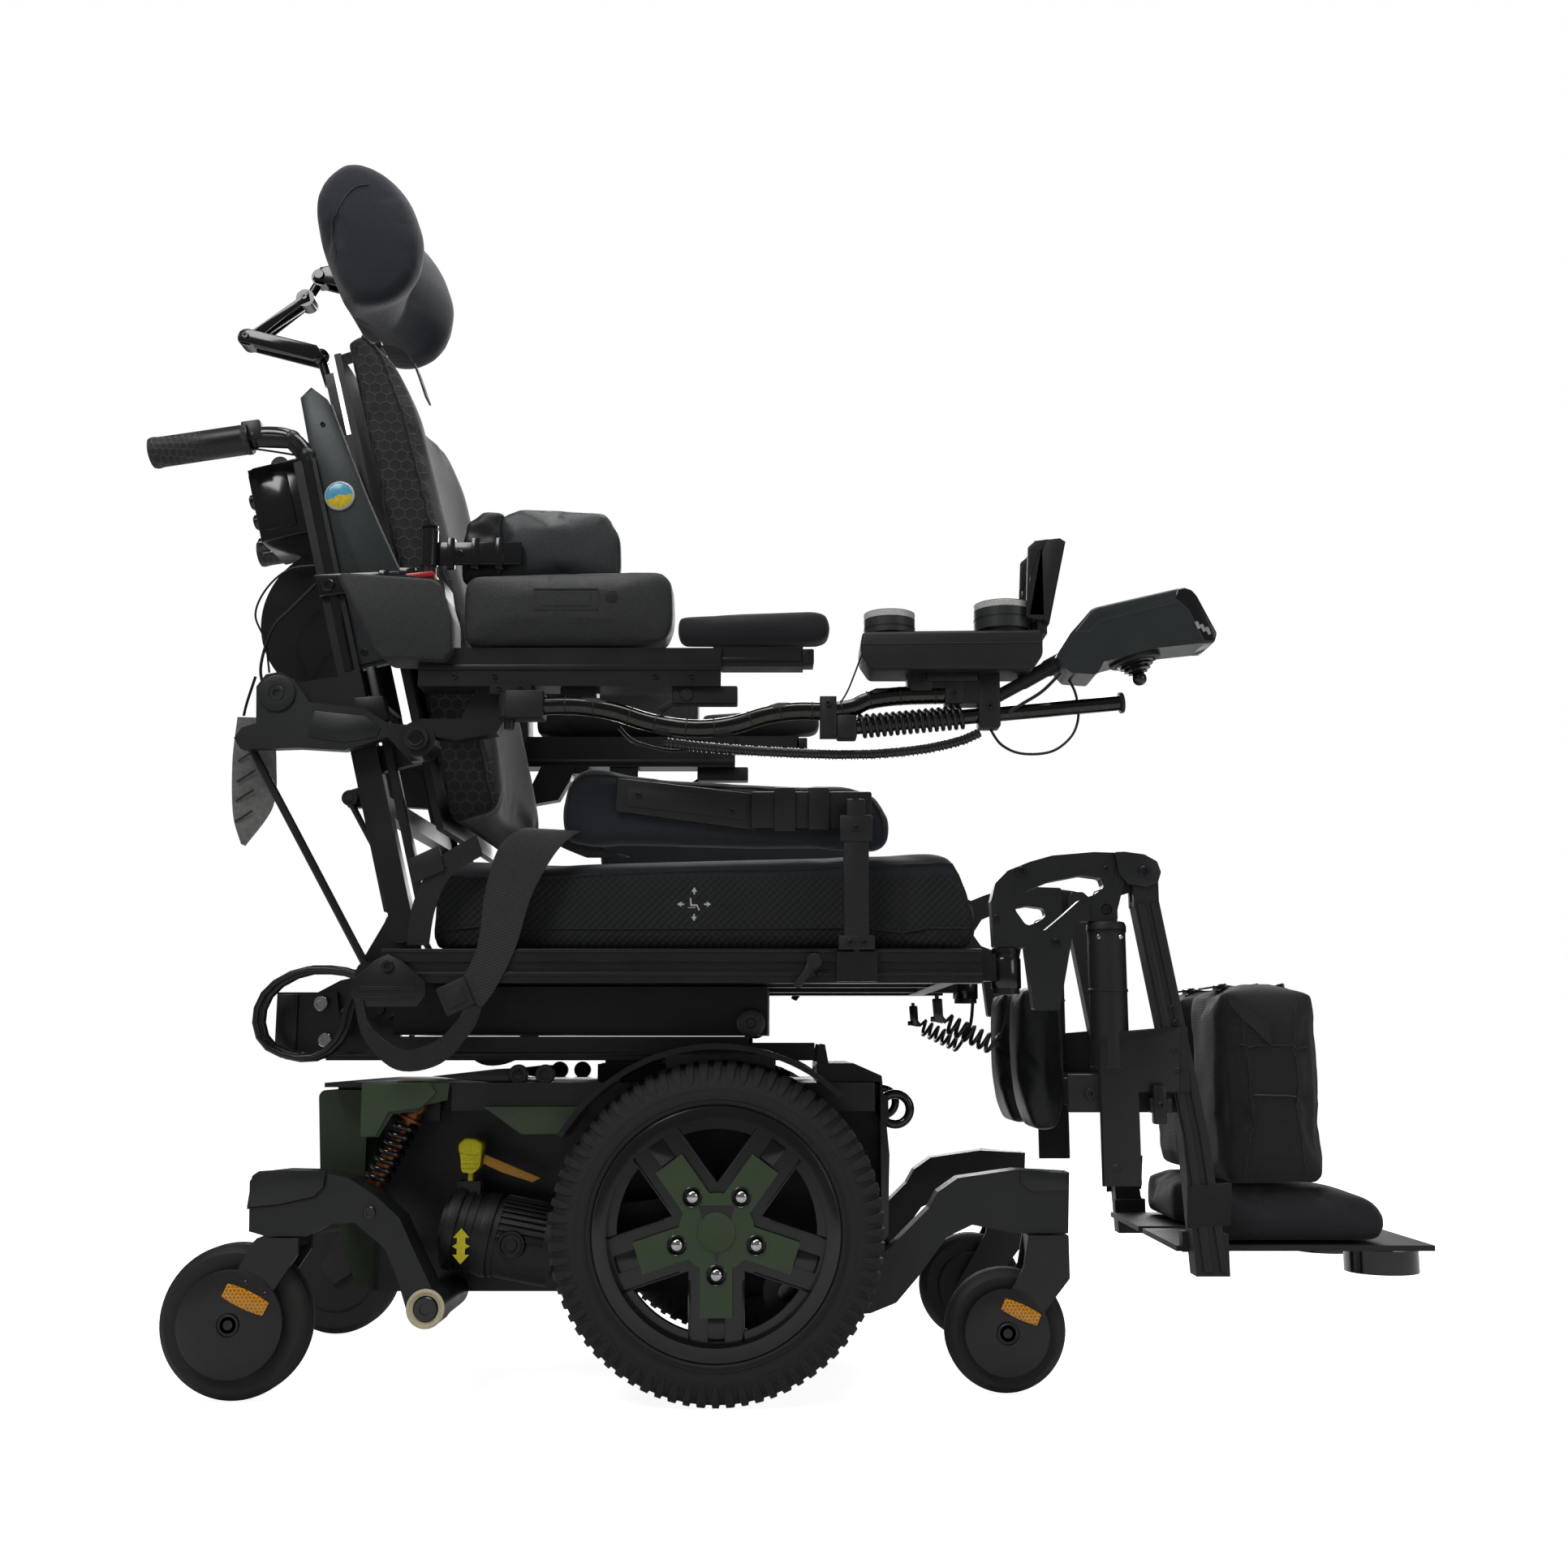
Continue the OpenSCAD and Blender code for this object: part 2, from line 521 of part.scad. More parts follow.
// ---- back ----
module back_frame() color([0.08, 0.08, 0.09]) at_axle() {
  difference() {
    on_back() {
      pair() {
        // canes
        slab(-12, 14, -cane_y1, -cane_y0, 0, 560);
        ycyl(0, 0, cane_y0, cane_y1, 19);
        // side plates
        side([[14, 300], [60, 300], [85, 386], [60, 500], [41, 630], [25, 650], [10, 640], [8, 560], [14, 556]],
          cane_y0 + 2, cane_y0 + 10);
        // push handle with its grip
        bent_tube([[2, -cane_y0 - 9, 300], [4, -cane_y0 - 9, 567], [-10, -cane_y0 - 9, 592], [-51, -cane_y0 - 9, 604],
          [-150, -cane_y0 - 9, 613]], 10.5);
        rod([-56, -cane_y0 - 9, 604.6], [-172, -cane_y0 - 9, 615], 17.5);
        // shell brackets
        slab(0, 58, -cane_y0, -cane_y0 + 14, 180, 210);
        slab(0, 58, -cane_y0, -cane_y0 + 14, 430, 460);
      }
      slab(-6, 8, -cane_y0, cane_y0, 130, 155);
      slab(-6, 8, -cane_y0, cane_y0, 520, 545);
      // seat back shell
      slab(57, 65, -cane_y0 + 2, cane_y0 - 2, 100, 690);
      // headrest clamp
      slab(8, 40, -34, 34, 520, 545);
      difference() {
        slab(2, 57, -24, 24, 600, 660);
        slab(8, 22, -16, 16, 599, 661);
      }
      // round housing behind the back
      rotate([90, 0, 0]) translate([0, 0, -90]) linear_extrude(180) difference() {
        translate([-20, 395]) circle(r = 98, $fn = fine);
        translate([-6, 200]) square([200, 400]);
      }
      slab(-8, 0, -60, 60, 300, 525);
      // attendant control box with knobs
      slab(-75, -6, -cane_y0 + 20, -cane_y0 + 110, 490, 580);
      ycyl(-48, 600, cane_y0 - 90, cane_y0 - 70, 11);
      slab(-54, -42, -cane_y0 + 72, -cane_y0 + 88, 578, 604);
      for (z = [500, 530, 556]) rod([-75, -cane_y0 + 60, z], [-86, -cane_y0 + 60, z], 9);
    }
    pair() ycyl(recline_p[0], recline_p[2], cane_y0 - 10, link_y1, pin_r + run_gap);
  }
  // arm link pivots
  pair() {
    ycyl(link_p[0], link_p[2], cane_y0, link_y0 - side_gap, 15);
    ycyl(link_p[0], link_p[2], link_y0 - 1, link_y1 + 0.5, pin_r);
    side([[-498, 778], [-425, 790], [-418, 745], [-498, 746]], cane_y0, cane_y1);
    // trunk pad hinge mounts
    side([[-470, 905], [lateral_x + 6, 912], [lateral_x + 6, 897], [-462, 880]], cane_y1, cane_y1 + 5);
    zcyl(lateral_x, -cane_y1 - 5, 896, 914, 9);
    zcyl(lateral_x, -cane_y1 - 5, 913, 962, pin_r - 2);
  }
}

module back_cushion() color([0.08, 0.08, 0.09]) at_axle() on_back() {
  w0 = 65.5;
  round_side([[w0, 95], [w0 + back_t, 95], [w0 + back_t, 95 + back_l - 60], [w0 + back_t - 22, 95 + back_l - 20],
    [w0 + 20, 95 + back_l], [w0, 95 + back_l - 8]], 12, -cane_y0 + 6, cane_y0 - 6);
}

module headrest_stem() color([0.06, 0.06, 0.06]) at_axle() {
  on_back() slab(9, 21, -15, 15, 570, 752);
  difference() {
    union() {
      rod([-525, 0, 1226], [-538, 0, 1264], 6);
      translate([-538, 0, 1266]) sphere(r = 11, $fn = mid);
      rod([-538, 0, 1266], [-634, 0, 1289], 8);
      ycyl(-634, 1289, -11, 11, 12);
      rod([-634, 0, 1289], [-562, 0, 1343], 8);
      ycyl(-560, 1344, -11, 11, 12);
      rod([-560, 0, 1344], [-546, 0, 1370], 6);
      ycyl(-542, 1375, -8, 8, 12);
    }
    ycyl(-542, 1375, -12, 12, 4 + run_gap);
  }
}

module headrest_pad() color([0.11, 0.12, 0.15]) at_axle() {
  difference() {
    round_side([[-537, 1432], [-525, 1468], [-495, 1494], [-462, 1491], [-430, 1469], [-402, 1429], [-384, 1378],
      [-388, 1329], [-408, 1298], [-440, 1284], [-474, 1287], [-498, 1320], [-512, 1352], [-530, 1394]],
      10, -125, 125);
    slab(-600, -505, -30, 30, 1330, 1420);
  }
  // ball joint plate and cross pin
  slab(-505.1, -500, -25, 25, 1340, 1410);
  pair() side([[-546, 1370], [-538, 1384], [-505, 1392], [-505, 1358]], 9, 14);
  ycyl(-542, 1375, -14, 14, 4);
}

module lateral_pad(s = 1) color([0.06, 0.06, 0.07]) at_axle() {
  y = cane_y1 + 5;
  difference() {
    union() {
      zcyl(lateral_x, -y, 914.5, 960, 10);
      slab(lateral_x, -230, -y + 1, -y + 7, 920, 945);
    }
    zcyl(lateral_x, -y, 910, 964, pin_r - 2 + run_gap);
  }
  round_side([[-312, 900], [-304, 985], [-280, 998], [-130, 993], [-112, 960], [-111, 908], [-125, 897], [-302, 897]],
    9, y - 50, y - 7);
}
module lateral_pad_right() { lateral_pad(); }
module lateral_pad_left() { left() lateral_pad(); }

// ---- arms ----
module arm_links() color([0.10, 0.10, 0.11]) at_axle() pair() {
  difference() {
    union() {
      side([[-522, 770], [-512, 784], [-496, 787], [-480, 778], [-462, 752], [-400, 745], [-372, 728], [-325, 724],
        [-314, 700], [-322, 688], [-345, 684], [-372, 712], [-420, 697], [-470, 700], [-500, 699], [-536, 699],
        [-544, 711], [-536, 723], [-520, 728]], link_y0, link_y1);
    }
    ycyl(link_p[0], link_p[2], link_y0 - 5, link_y1 + 5, pin_r + run_gap);
  }
  // flip pin and levelling rod pin
  ycyl(elbow_p[0], elbow_p[2], link_y1 - 1, pad_y0 + 26, pin_r);
  ycyl(elbow_p[0], elbow_p[2], pad_y0 + 24.5, pad_y0 + 29, 13);
  ycyl(tail_p[0], tail_p[2], link_y0 - 11, link_y0 + 1, link_pin_r);
}

module level_rods() color([0.09, 0.09, 0.10]) at_axle() pair() {
  difference() {
    union() {
      for (p = [tail_p, rod_p]) ycyl(p[0], p[2], link_y0 - 10, link_y0 - side_gap, 11);
      rod(tail_p + [2, -link_y0 + 5.2, -8], rod_p + [-2, -link_y0 + 5.2, 8], 4.5);
    }
    for (p = [tail_p, rod_p]) ycyl(p[0], p[2], link_y0 - 20, link_y0 + 5, link_pin_r + run_gap);
  }
}

module armrest_frame() color([0.09, 0.09, 0.10]) at_axle() {
  difference() {
    union() {
      ycyl(elbow_p[0], elbow_p[2], pad_y0, pad_y0 + 24, 20);
      side([[-340, 724], [-325, 724], [-314, 708], [-290, 704], [-246, 712], [-230, 740], [-222, 762], [-270, 762],
        [-286, 728], [-330, 728]], pad_y0, pad_y0 + 22);
      slab(-330, 2, -pad_y0 - 44, -pad_y0 - 4, 760, 803);
      slab(-7, 92, -pad_y0 - 40, -pad_y0 - 10, 783, 805);
      // rear corner block
      side([[-416, 878], [-404, 842], [-371, 793], [-303, 787], [-296, 832], [-303, 876], [-345, 882]],
        pad_y0 + 6, pad_y0 + 56);
      // clamp under the channel
      slab(-175, -135, -pad_y0 - 34, -pad_y0 - 6, 735, 761);
      slab(-250, -205, -pad_y0 - 50, -pad_y0 - 4, 750, 761);
    }
    ycyl(elbow_p[0], elbow_p[2], pad_y0 - 5, pad_y0 + 30, pin_r + run_gap);
  }
}
module armrest_frame_right() {
  armrest_frame();
  // socket and pin of the swing-out control arm
  color([0.09, 0.09, 0.10]) at_axle() zcyl(-228, -ctl_y, 712, 751, 6);
}
module armrest_frame_left() { left() armrest_frame(); }

module armrest_pad() color([0.07, 0.07, 0.08]) at_axle() {
  round_side([[-287, 803], [-287, 888], [-60, 893], [-47, 880], [-45, 830], [-52, 803]], 7, pad_y0, pad_y1);
  round_side([[-43, 805], [-43, 842], [110, 850], [128, 842], [129, 820], [118, 805]], 6, pad_y0 + 6, pad_y1 - 6);
}
module armrest_pad_right() { armrest_pad(); }
module armrest_pad_left() { left() armrest_pad(); }

// ---- leg rests ----
module leg_hanger() color([0.08, 0.08, 0.09]) at_axle() {
  difference() {
    union() {
      // curved casting with its lower spar
      round_side([[303, 479], [301, 530], [306, 550], [320, 564], [345, 574], [370, 581], [417, 585], [449, 584],
        [449, 549], [441, 520], [441, 508], [414, 508], [400, 508], [392, 500], [374, 410], [346, 410], [338, 479]], 3,
        leg_y - hanger_t / 2, leg_y + hanger_t / 2);
      side([[440, 580], [471, 579], [471, 545], [440, 535]], leg_y - 5.5, leg_y + 5.5);
      ycyl(leg_pivot[0], leg_pivot[2], leg_y - 5.5, leg_y + 5.5, 17);
      // hinge pin into the seat
      zcyl(hinge_x, -leg_y, 430, 480, pin_r);
    }
    // hand opening
    round_side([[327, 521], [340, 541], [366, 552], [402, 559], [424, 556], [427, 545], [415, 537], [399, 531],
      [381, 515], [359, 497], [338, 505]], 5, leg_y - 30, leg_y + 30);
    ycyl(leg_pivot[0], leg_pivot[2], leg_y - 20, leg_y + 20, pin_r - 2 + run_gap);
    ycyl(429, 521, leg_y + 9, leg_y + 20, 6);
  }
}
module leg_hanger_right() { leg_hanger(); }
module leg_hanger_left() { left() leg_hanger(); }

module leg_frame() color([0.07, 0.07, 0.08]) at_axle() {
  // tube with two ears on the pivot pin
  difference() {
    union() {
      side([[459, 536], [459, 524], [487, 524], [487, 570], [478, 578], [464, 578], [457, 570]], leg_y + 6, leg_y + 14);
      side([[459, 536], [459, 524], [487, 524], [487, 570], [478, 578], [464, 578], [457, 570]], leg_y - 14, leg_y - 6);
    }
    ycyl(leg_pivot[0], leg_pivot[2], leg_y - 30, leg_y + 30, pin_r - 3);
  }
  ycyl(leg_pivot[0], leg_pivot[2], leg_y - 14, leg_y + 14, pin_r - 2);
  side([[459, 530], [487, 530], [531, 274], [548, 128], [512, 128], [503, 274]], leg_y - 14, leg_y + 14);
  // powered actuator
  zcyl(430, -leg_y, 344, 505, 21, fine);
  zcyl(430, -leg_y, 318, 345, 13);
  // actuator bracket plates
  side([[414, 222], [414, 372], [424, 386], [496, 392], [512, 392], [512, 322], [455, 322], [455, 222]],
    leg_y + 14, leg_y + 18);
  slab(422, 510, -leg_y - 14.1, -leg_y + 14, 320, 336);
  // calf pad arm
  slab(395, 425, -leg_y - 8, -leg_y + 40, 300, 330);
  slab(420, 512, -leg_y - 8, -leg_y + 8, 300, 326);
  // foot plate with its front glide disc
  slab(500, 500 + foot_l, -leg_in - foot_w, -leg_in, 150, 156);
  slab(505, 538, -leg_y + 14, -leg_in - foot_w + 6, 150, 172);
  slab(512, 548, -leg_y - 14, -leg_y + 14, 128, 172);
  zcyl(-30 + 500 + foot_l, -leg_in - foot_w / 2, 142, 150.5, 14);
  translate([-30 + 500 + foot_l, -leg_in - foot_w / 2, 131]) intersection() {
    sphere(r = 60, $fn = fine);
    translate([-60, -60, -13]) cube([120, 120, 26]);
    cylinder(r = 41, h = 60, center = true, $fn = fine);
  }
}
module leg_frame_right() { leg_frame(); }
module leg_frame_left() { left() leg_frame(); }

module leg_padding() color([0.08, 0.08, 0.09]) at_axle() {
  // calf pad
  round_side([[336, 430], [346, 445], [392, 440], [394, 300], [386, 272], [352, 270], [340, 300]], 8, leg_in + 25, leg_y - 56);
  // foot pad and the bag above it
  round_side([[540, 156.5], [540, 214], [700, 216], [738, 208], [742, 175], [732, 156.5]], 8, leg_in + 3, leg_in + foot_w - 3);
  round_side([[560, 217], [560, 440], [668, 443], [676, 430], [676, 230], [668, 217]], 6, leg_in + 6, leg_in + foot_w - 6);
}
module leg_padding_right() { leg_padding(); }
module leg_padding_left() { left() leg_padding(); }

// ---- thigh supports ----
module thigh_pad() color([0.07, 0.08, 0.10]) at_axle() {
  y = rail_y1 + 6;
  zcyl(150, -y, 440, 640, 5);
  slab(136, 164, -y - 5, -y + 5, 478, 614);
  slab(-118, 169, -sw, -sw + 12, 606, 656);
  slab(140, 160, -y - 5, -sw + 2, 600, 640);
  round_side([[-189, 591], [-180, 662], [-60, 672], [150, 668], [190, 650], [201, 606], [190, 591]], 12, sw - 58, sw - 12);
}
module thigh_pad_right() { thigh_pad(); }
module thigh_pad_left() { left() thigh_pad(); }

// ---- hand controls ----
control_path = [[-218, -ctl_y, 737], [-136, -ctl_y, 738], [-59, -ctl_y, 714], [3, -ctl_y, 712], [66, -ctl_y, 732],
  [137, -ctl_y, 732], [173, -ctl_y, 748], [272, -ctl_y, 751]];
module control_arm() color([0.06, 0.06, 0.06]) at_axle() {
  difference() {
    union() {
      zcyl(-228, -ctl_y, 724, 749, 13);
    }
    zcyl(-228, -ctl_y, 700, 760, 6 + run_gap + 0.1);
  }
  cord(control_path, segment_tube_r, 16);
  // straight tube with end cap
  rod([120, -ctl_y, 711.6], [437, -ctl_y, 741], arm_tube_r);
  rod([437, -ctl_y, 741], [441, -ctl_y, 741.4], 11);
  slab(284, 304, -ctl_y - 10, -ctl_y + 10, 716, 776);
  slab(264, 290, -ctl_y - 12, -ctl_y + 12, 738, 764);
  slab(110, 128, -ctl_y - 12, -ctl_y + 12, 703, 746);
  // switch box
  round_side([[158, 813], [156, 790], [166, 773], [338, 773], [348, 790], [348, 815]], 4, ctl_y - 31, ctl_y + 31);
  slab(205, 275, -ctl_y - 12, -ctl_y + 12, 755, 774);
  zcyl(187, -ctl_y, 812, 819, rear_button_r - 4);
  zcyl(312, -ctl_y, 813, 822, front_button_r - 4);
  // screen holder
  side([[333, 829], [344, 915], [372, 918], [352, 826]], ctl_y + 27, ctl_y + 31);
  side([[333, 829], [344, 915], [372, 918], [352, 826]], ctl_y - 31, ctl_y - 27);
  side([[352, 826], [372, 918], [378, 914], [358, 822]], ctl_y - 31, ctl_y + 31);
  slab(346, 356, -ctl_y - 27.1, -ctl_y + 27.1, 812, 832);
  // arm to the hand control
  rod([300, -ctl_y, 746], [377, -ctl_y, 788], 7);
}
module joystick_body() color([0.07, 0.07, 0.08]) at_axle() {
  difference() {
    union() {
      round_side([[364, 786], [381, 812], [404, 838], [503, 862], [517, 855], [537, 812], [534, 802], [470, 795],
        [416, 780], [408, 766], [380, 768]], 5, ctl_y - 29, ctl_y + 29);
      rod([stick_p[0] - 4.8, -ctl_y, stick_p[2] + 21.5], [stick_p[0] + 2.2, -ctl_y, stick_p[2] - 9.8], 27, fine);
    }
    rod([stick_p[0] - 2.3, -ctl_y, stick_p[2] + 10.2], [stick_p[0] + 4.8, -ctl_y, stick_p[2] - 21.5], 22, fine);
  }
}
module joystick_gimbal() color([0.2, 0.2, 0.21]) at_axle() translate([stick_p[0], -ctl_y, stick_p[2]])
  rotate([0, -12.5, 0]) difference() {
    cylinder(r = 16, h = 6, center = true, $fn = mid);
    cylinder(r = 10, h = 8, center = true, $fn = mid);
  }
module joystick_stick() color([0.15, 0.15, 0.16]) at_axle() translate([stick_p[0], -ctl_y, stick_p[2]])
  rotate([0, -12.5, 0]) {
    sphere(r = 8, $fn = mid);
    translate([0, 0, -26]) cylinder(r = 4, h = 26, $fn = mid);
    translate([0, 0, -20]) rotate_extrude($fn = mid) polygon([[3, 0], [17, 4], [14, 7], [15.5, 10], [11, 12], [8, 14.5], [3, 15]]);
    translate([0, 0, -28]) sphere(r = 7.5, $fn = mid);
  }
module puck(x, z, r, h) color([0.09, 0.09, 0.10]) at_axle() difference() {
  zcyl(x, -ctl_y, z, z + h, r, fine);
  zcyl(x, -ctl_y, z - 1, z + 6, r - 4 + 0.3, fine);
}
module switch_button_rear() { puck(187, 816, rear_button_r, 24); }
module switch_button_front() { puck(312, 820, front_button_r, 30); }

// ---- cables ----
seat_route = [[-404.5, -170, 448], [-430, -170, 456], [-470, -169, 456], [-506, -168, 436], [-520, -166, 405],
  [-511, -164, 373], [-480, -162, 358], [-446, -160, 360], [-424, -158, 384], [-418, -157, 420], [-404.5, -156, 446]];
module seat_cables() color([0.05, 0.05, 0.05]) at_axle() {
  cord(chaikin(seat_route), 5.5);
  pair() translate([0, -20, 0]) cord(chaikin(seat_route), 3.5);
}
conduit_route = [[-60, -ctl_y, 697], [-20, -ctl_y, 692], [60, -ctl_y, 686], [150, -ctl_y, 683], [215, -ctl_y, 688],
  [262, -ctl_y, 698], [284, -ctl_y, 708]];
module control_cables() color([0.05, 0.05, 0.05]) at_axle() {
  // coiled cord wound on the straight tube
  translate([150, -ctl_y, 714.4]) rotate([0, 90 - atan2(27.5, 297), 0]) difference() {
    cylinder(r = 14, h = 120, $fn = fine);
    translate([0, 0, -1]) cylinder(r = arm_tube_r + 0.4, h = 122, $fn = fine);
  }
  cord(chaikin(conduit_route), 5);
}

chassis_frame();
battery_box();
batteries();
side_panels();
drive_motors();
body_trim();
rear_shock_right();
rear_shock_left();
freewheel_lever_right();
freewheel_lever_left();
drive_tyre_right();
drive_tyre_left();
drive_rim_right();
drive_rim_left();
rear_arm_right();
rear_arm_left();
front_arm_right();
front_arm_left();
caster_fork_rear_right();
caster_fork_rear_left();
caster_fork_front_right();
caster_fork_front_left();
caster_wheel_rear_right();
caster_wheel_rear_left();
caster_wheel_front_right();
caster_wheel_front_left();
lift_middle_column();
lift_platform();
tilt_carriage();
seat_frame();
seat_cushion();
seat_belt();
back_frame();
back_cushion();
arm_links();
level_rods();
armrest_frame_right();
armrest_frame_left();
armrest_pad_right();
armrest_pad_left();
leg_hanger_right();
leg_hanger_left();
leg_frame_right();
leg_frame_left();
leg_padding_right();
leg_padding_left();
headrest_stem();
headrest_pad();
lateral_pad_right();
lateral_pad_left();
thigh_pad_right();
thigh_pad_left();
control_arm();
joystick_body();
joystick_gimbal();
joystick_stick();
switch_button_rear();
switch_button_front();
seat_cables();
control_cables();
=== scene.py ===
import bpy, bmesh, math, random
from mathutils import Vector, Matrix


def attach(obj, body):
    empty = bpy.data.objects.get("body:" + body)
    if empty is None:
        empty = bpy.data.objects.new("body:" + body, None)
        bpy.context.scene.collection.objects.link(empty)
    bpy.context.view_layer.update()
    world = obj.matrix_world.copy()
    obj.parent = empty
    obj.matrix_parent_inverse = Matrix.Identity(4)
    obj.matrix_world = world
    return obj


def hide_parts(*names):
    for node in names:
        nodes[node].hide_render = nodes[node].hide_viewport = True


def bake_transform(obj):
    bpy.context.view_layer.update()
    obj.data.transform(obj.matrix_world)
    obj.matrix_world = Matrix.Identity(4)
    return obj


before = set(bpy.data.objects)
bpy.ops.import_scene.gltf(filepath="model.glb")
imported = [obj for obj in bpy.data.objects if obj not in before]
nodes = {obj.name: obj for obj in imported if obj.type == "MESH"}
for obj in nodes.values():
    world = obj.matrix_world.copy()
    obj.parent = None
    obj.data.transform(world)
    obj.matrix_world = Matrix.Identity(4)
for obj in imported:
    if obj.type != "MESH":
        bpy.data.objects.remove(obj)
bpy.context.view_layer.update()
scene = bpy.context.scene
rng = random.Random(7)
print("frame loaded:", len(nodes), "nodes")


# places are given in millimetres from the drive axle
def at(x, y, z):
    return Vector((x / 1000 - 0.062, y / 1000, z / 1000))


# camera first; the cord numbers were measured against its view
cameraData = bpy.data.cameras.new("portraitCamera")
cameraData.sensor_width = 36
cameraData.lens = 36.6
cameraData.clip_end = 60
cameraObject = bpy.data.objects.new("portraitCamera", cameraData)
cameraObject.location = (0.009, -1.98, 0.372)
cameraObject.rotation_euler = (math.radians(99.31), 0, 0)
scene.collection.objects.link(cameraObject)
scene.camera = cameraObject
scene.view_settings.view_transform = "Standard"


# ---- finishes ----
def nodeMaker(material):
    tree = material.node_tree

    def add(kind, inputs=None, **settings):
        n = tree.nodes.new(kind)
        for key, value in settings.items():
            setattr(n, key, value)
        for key, value in (inputs or {}).items():
            if isinstance(value, bpy.types.NodeSocket):
                tree.links.new(value, n.inputs[key])
            else:
                n.inputs[key].default_value = value
        return n

    return tree, add


# height of a hexagonal cell pattern in the plane of the first two coordinates
def hexPattern(add, vector, size, edge):
    tall = 3 ** 0.5
    scaled = add("ShaderNodeVectorMath", {0: vector, 1: (1 / size, 1 / size, 0)}, operation="MULTIPLY").outputs[0]
    first = add("ShaderNodeVectorMath", {0: scaled, 1: (0.5, tall / 2, 0.5), 2: (-0.5, -tall / 2, -0.5)}, operation="WRAP").outputs[0]
    shifted = add("ShaderNodeVectorMath", {0: scaled, 1: (0.5, tall / 2, 0)}, operation="ADD").outputs[0]
    second = add("ShaderNodeVectorMath", {0: shifted, 1: (0.5, tall / 2, 0.5), 2: (-0.5, -tall / 2, -0.5)}, operation="WRAP").outputs[0]
    lengthA = add("ShaderNodeVectorMath", {0: first}, operation="LENGTH").outputs["Value"]
    lengthB = add("ShaderNodeVectorMath", {0: second}, operation="LENGTH").outputs["Value"]
    nearer = add("ShaderNodeMath", {0: lengthA, 1: lengthB}, operation="GREATER_THAN").outputs[0]
    cell = add("ShaderNodeMix", {0: nearer, 4: first, 5: second}, data_type="VECTOR").outputs[1]
    flat = add("ShaderNodeVectorMath", {0: cell}, operation="ABSOLUTE").outputs[0]
    apart = add("ShaderNodeSeparateXYZ", {0: flat}).outputs
    slanted = add("ShaderNodeVectorMath", {0: flat, 1: (0.5, tall / 2, 0)}, operation="DOT_PRODUCT").outputs["Value"]
    reach = add("ShaderNodeMath", {0: apart[0], 1: slanted}, operation="MAXIMUM").outputs[0]
    return add("ShaderNodeMapRange", {"Value": reach, "From Min": 0.5 - edge, "From Max": 0.5 - edge * 0.35, "To Min": 0.0, "To Max": 1.0},
               interpolation_type="SMOOTHSTEP").outputs["Result"]


# threads crossing at right angles: one sine for each direction
def weavePattern(add, vector, size):
    turned = add("ShaderNodeVectorMath", {0: vector, 1: (6.283 / size, 6.283 / size, 6.283 / size)}, operation="MULTIPLY").outputs[0]
    waves = add("ShaderNodeVectorMath", {0: turned}, operation="SINE").outputs[0]
    apart = add("ShaderNodeSeparateXYZ", {0: waves}).outputs
    one = add("ShaderNodeMath", {0: apart[0], 1: apart[1]}, operation="MULTIPLY").outputs[0]
    both = add("ShaderNodeMath", {0: one, 1: apart[2]}, operation="ADD").outputs[0]
    return add("ShaderNodeMapRange", {"Value": both, "From Min": -1.0, "From Max": 1.0}).outputs["Result"]


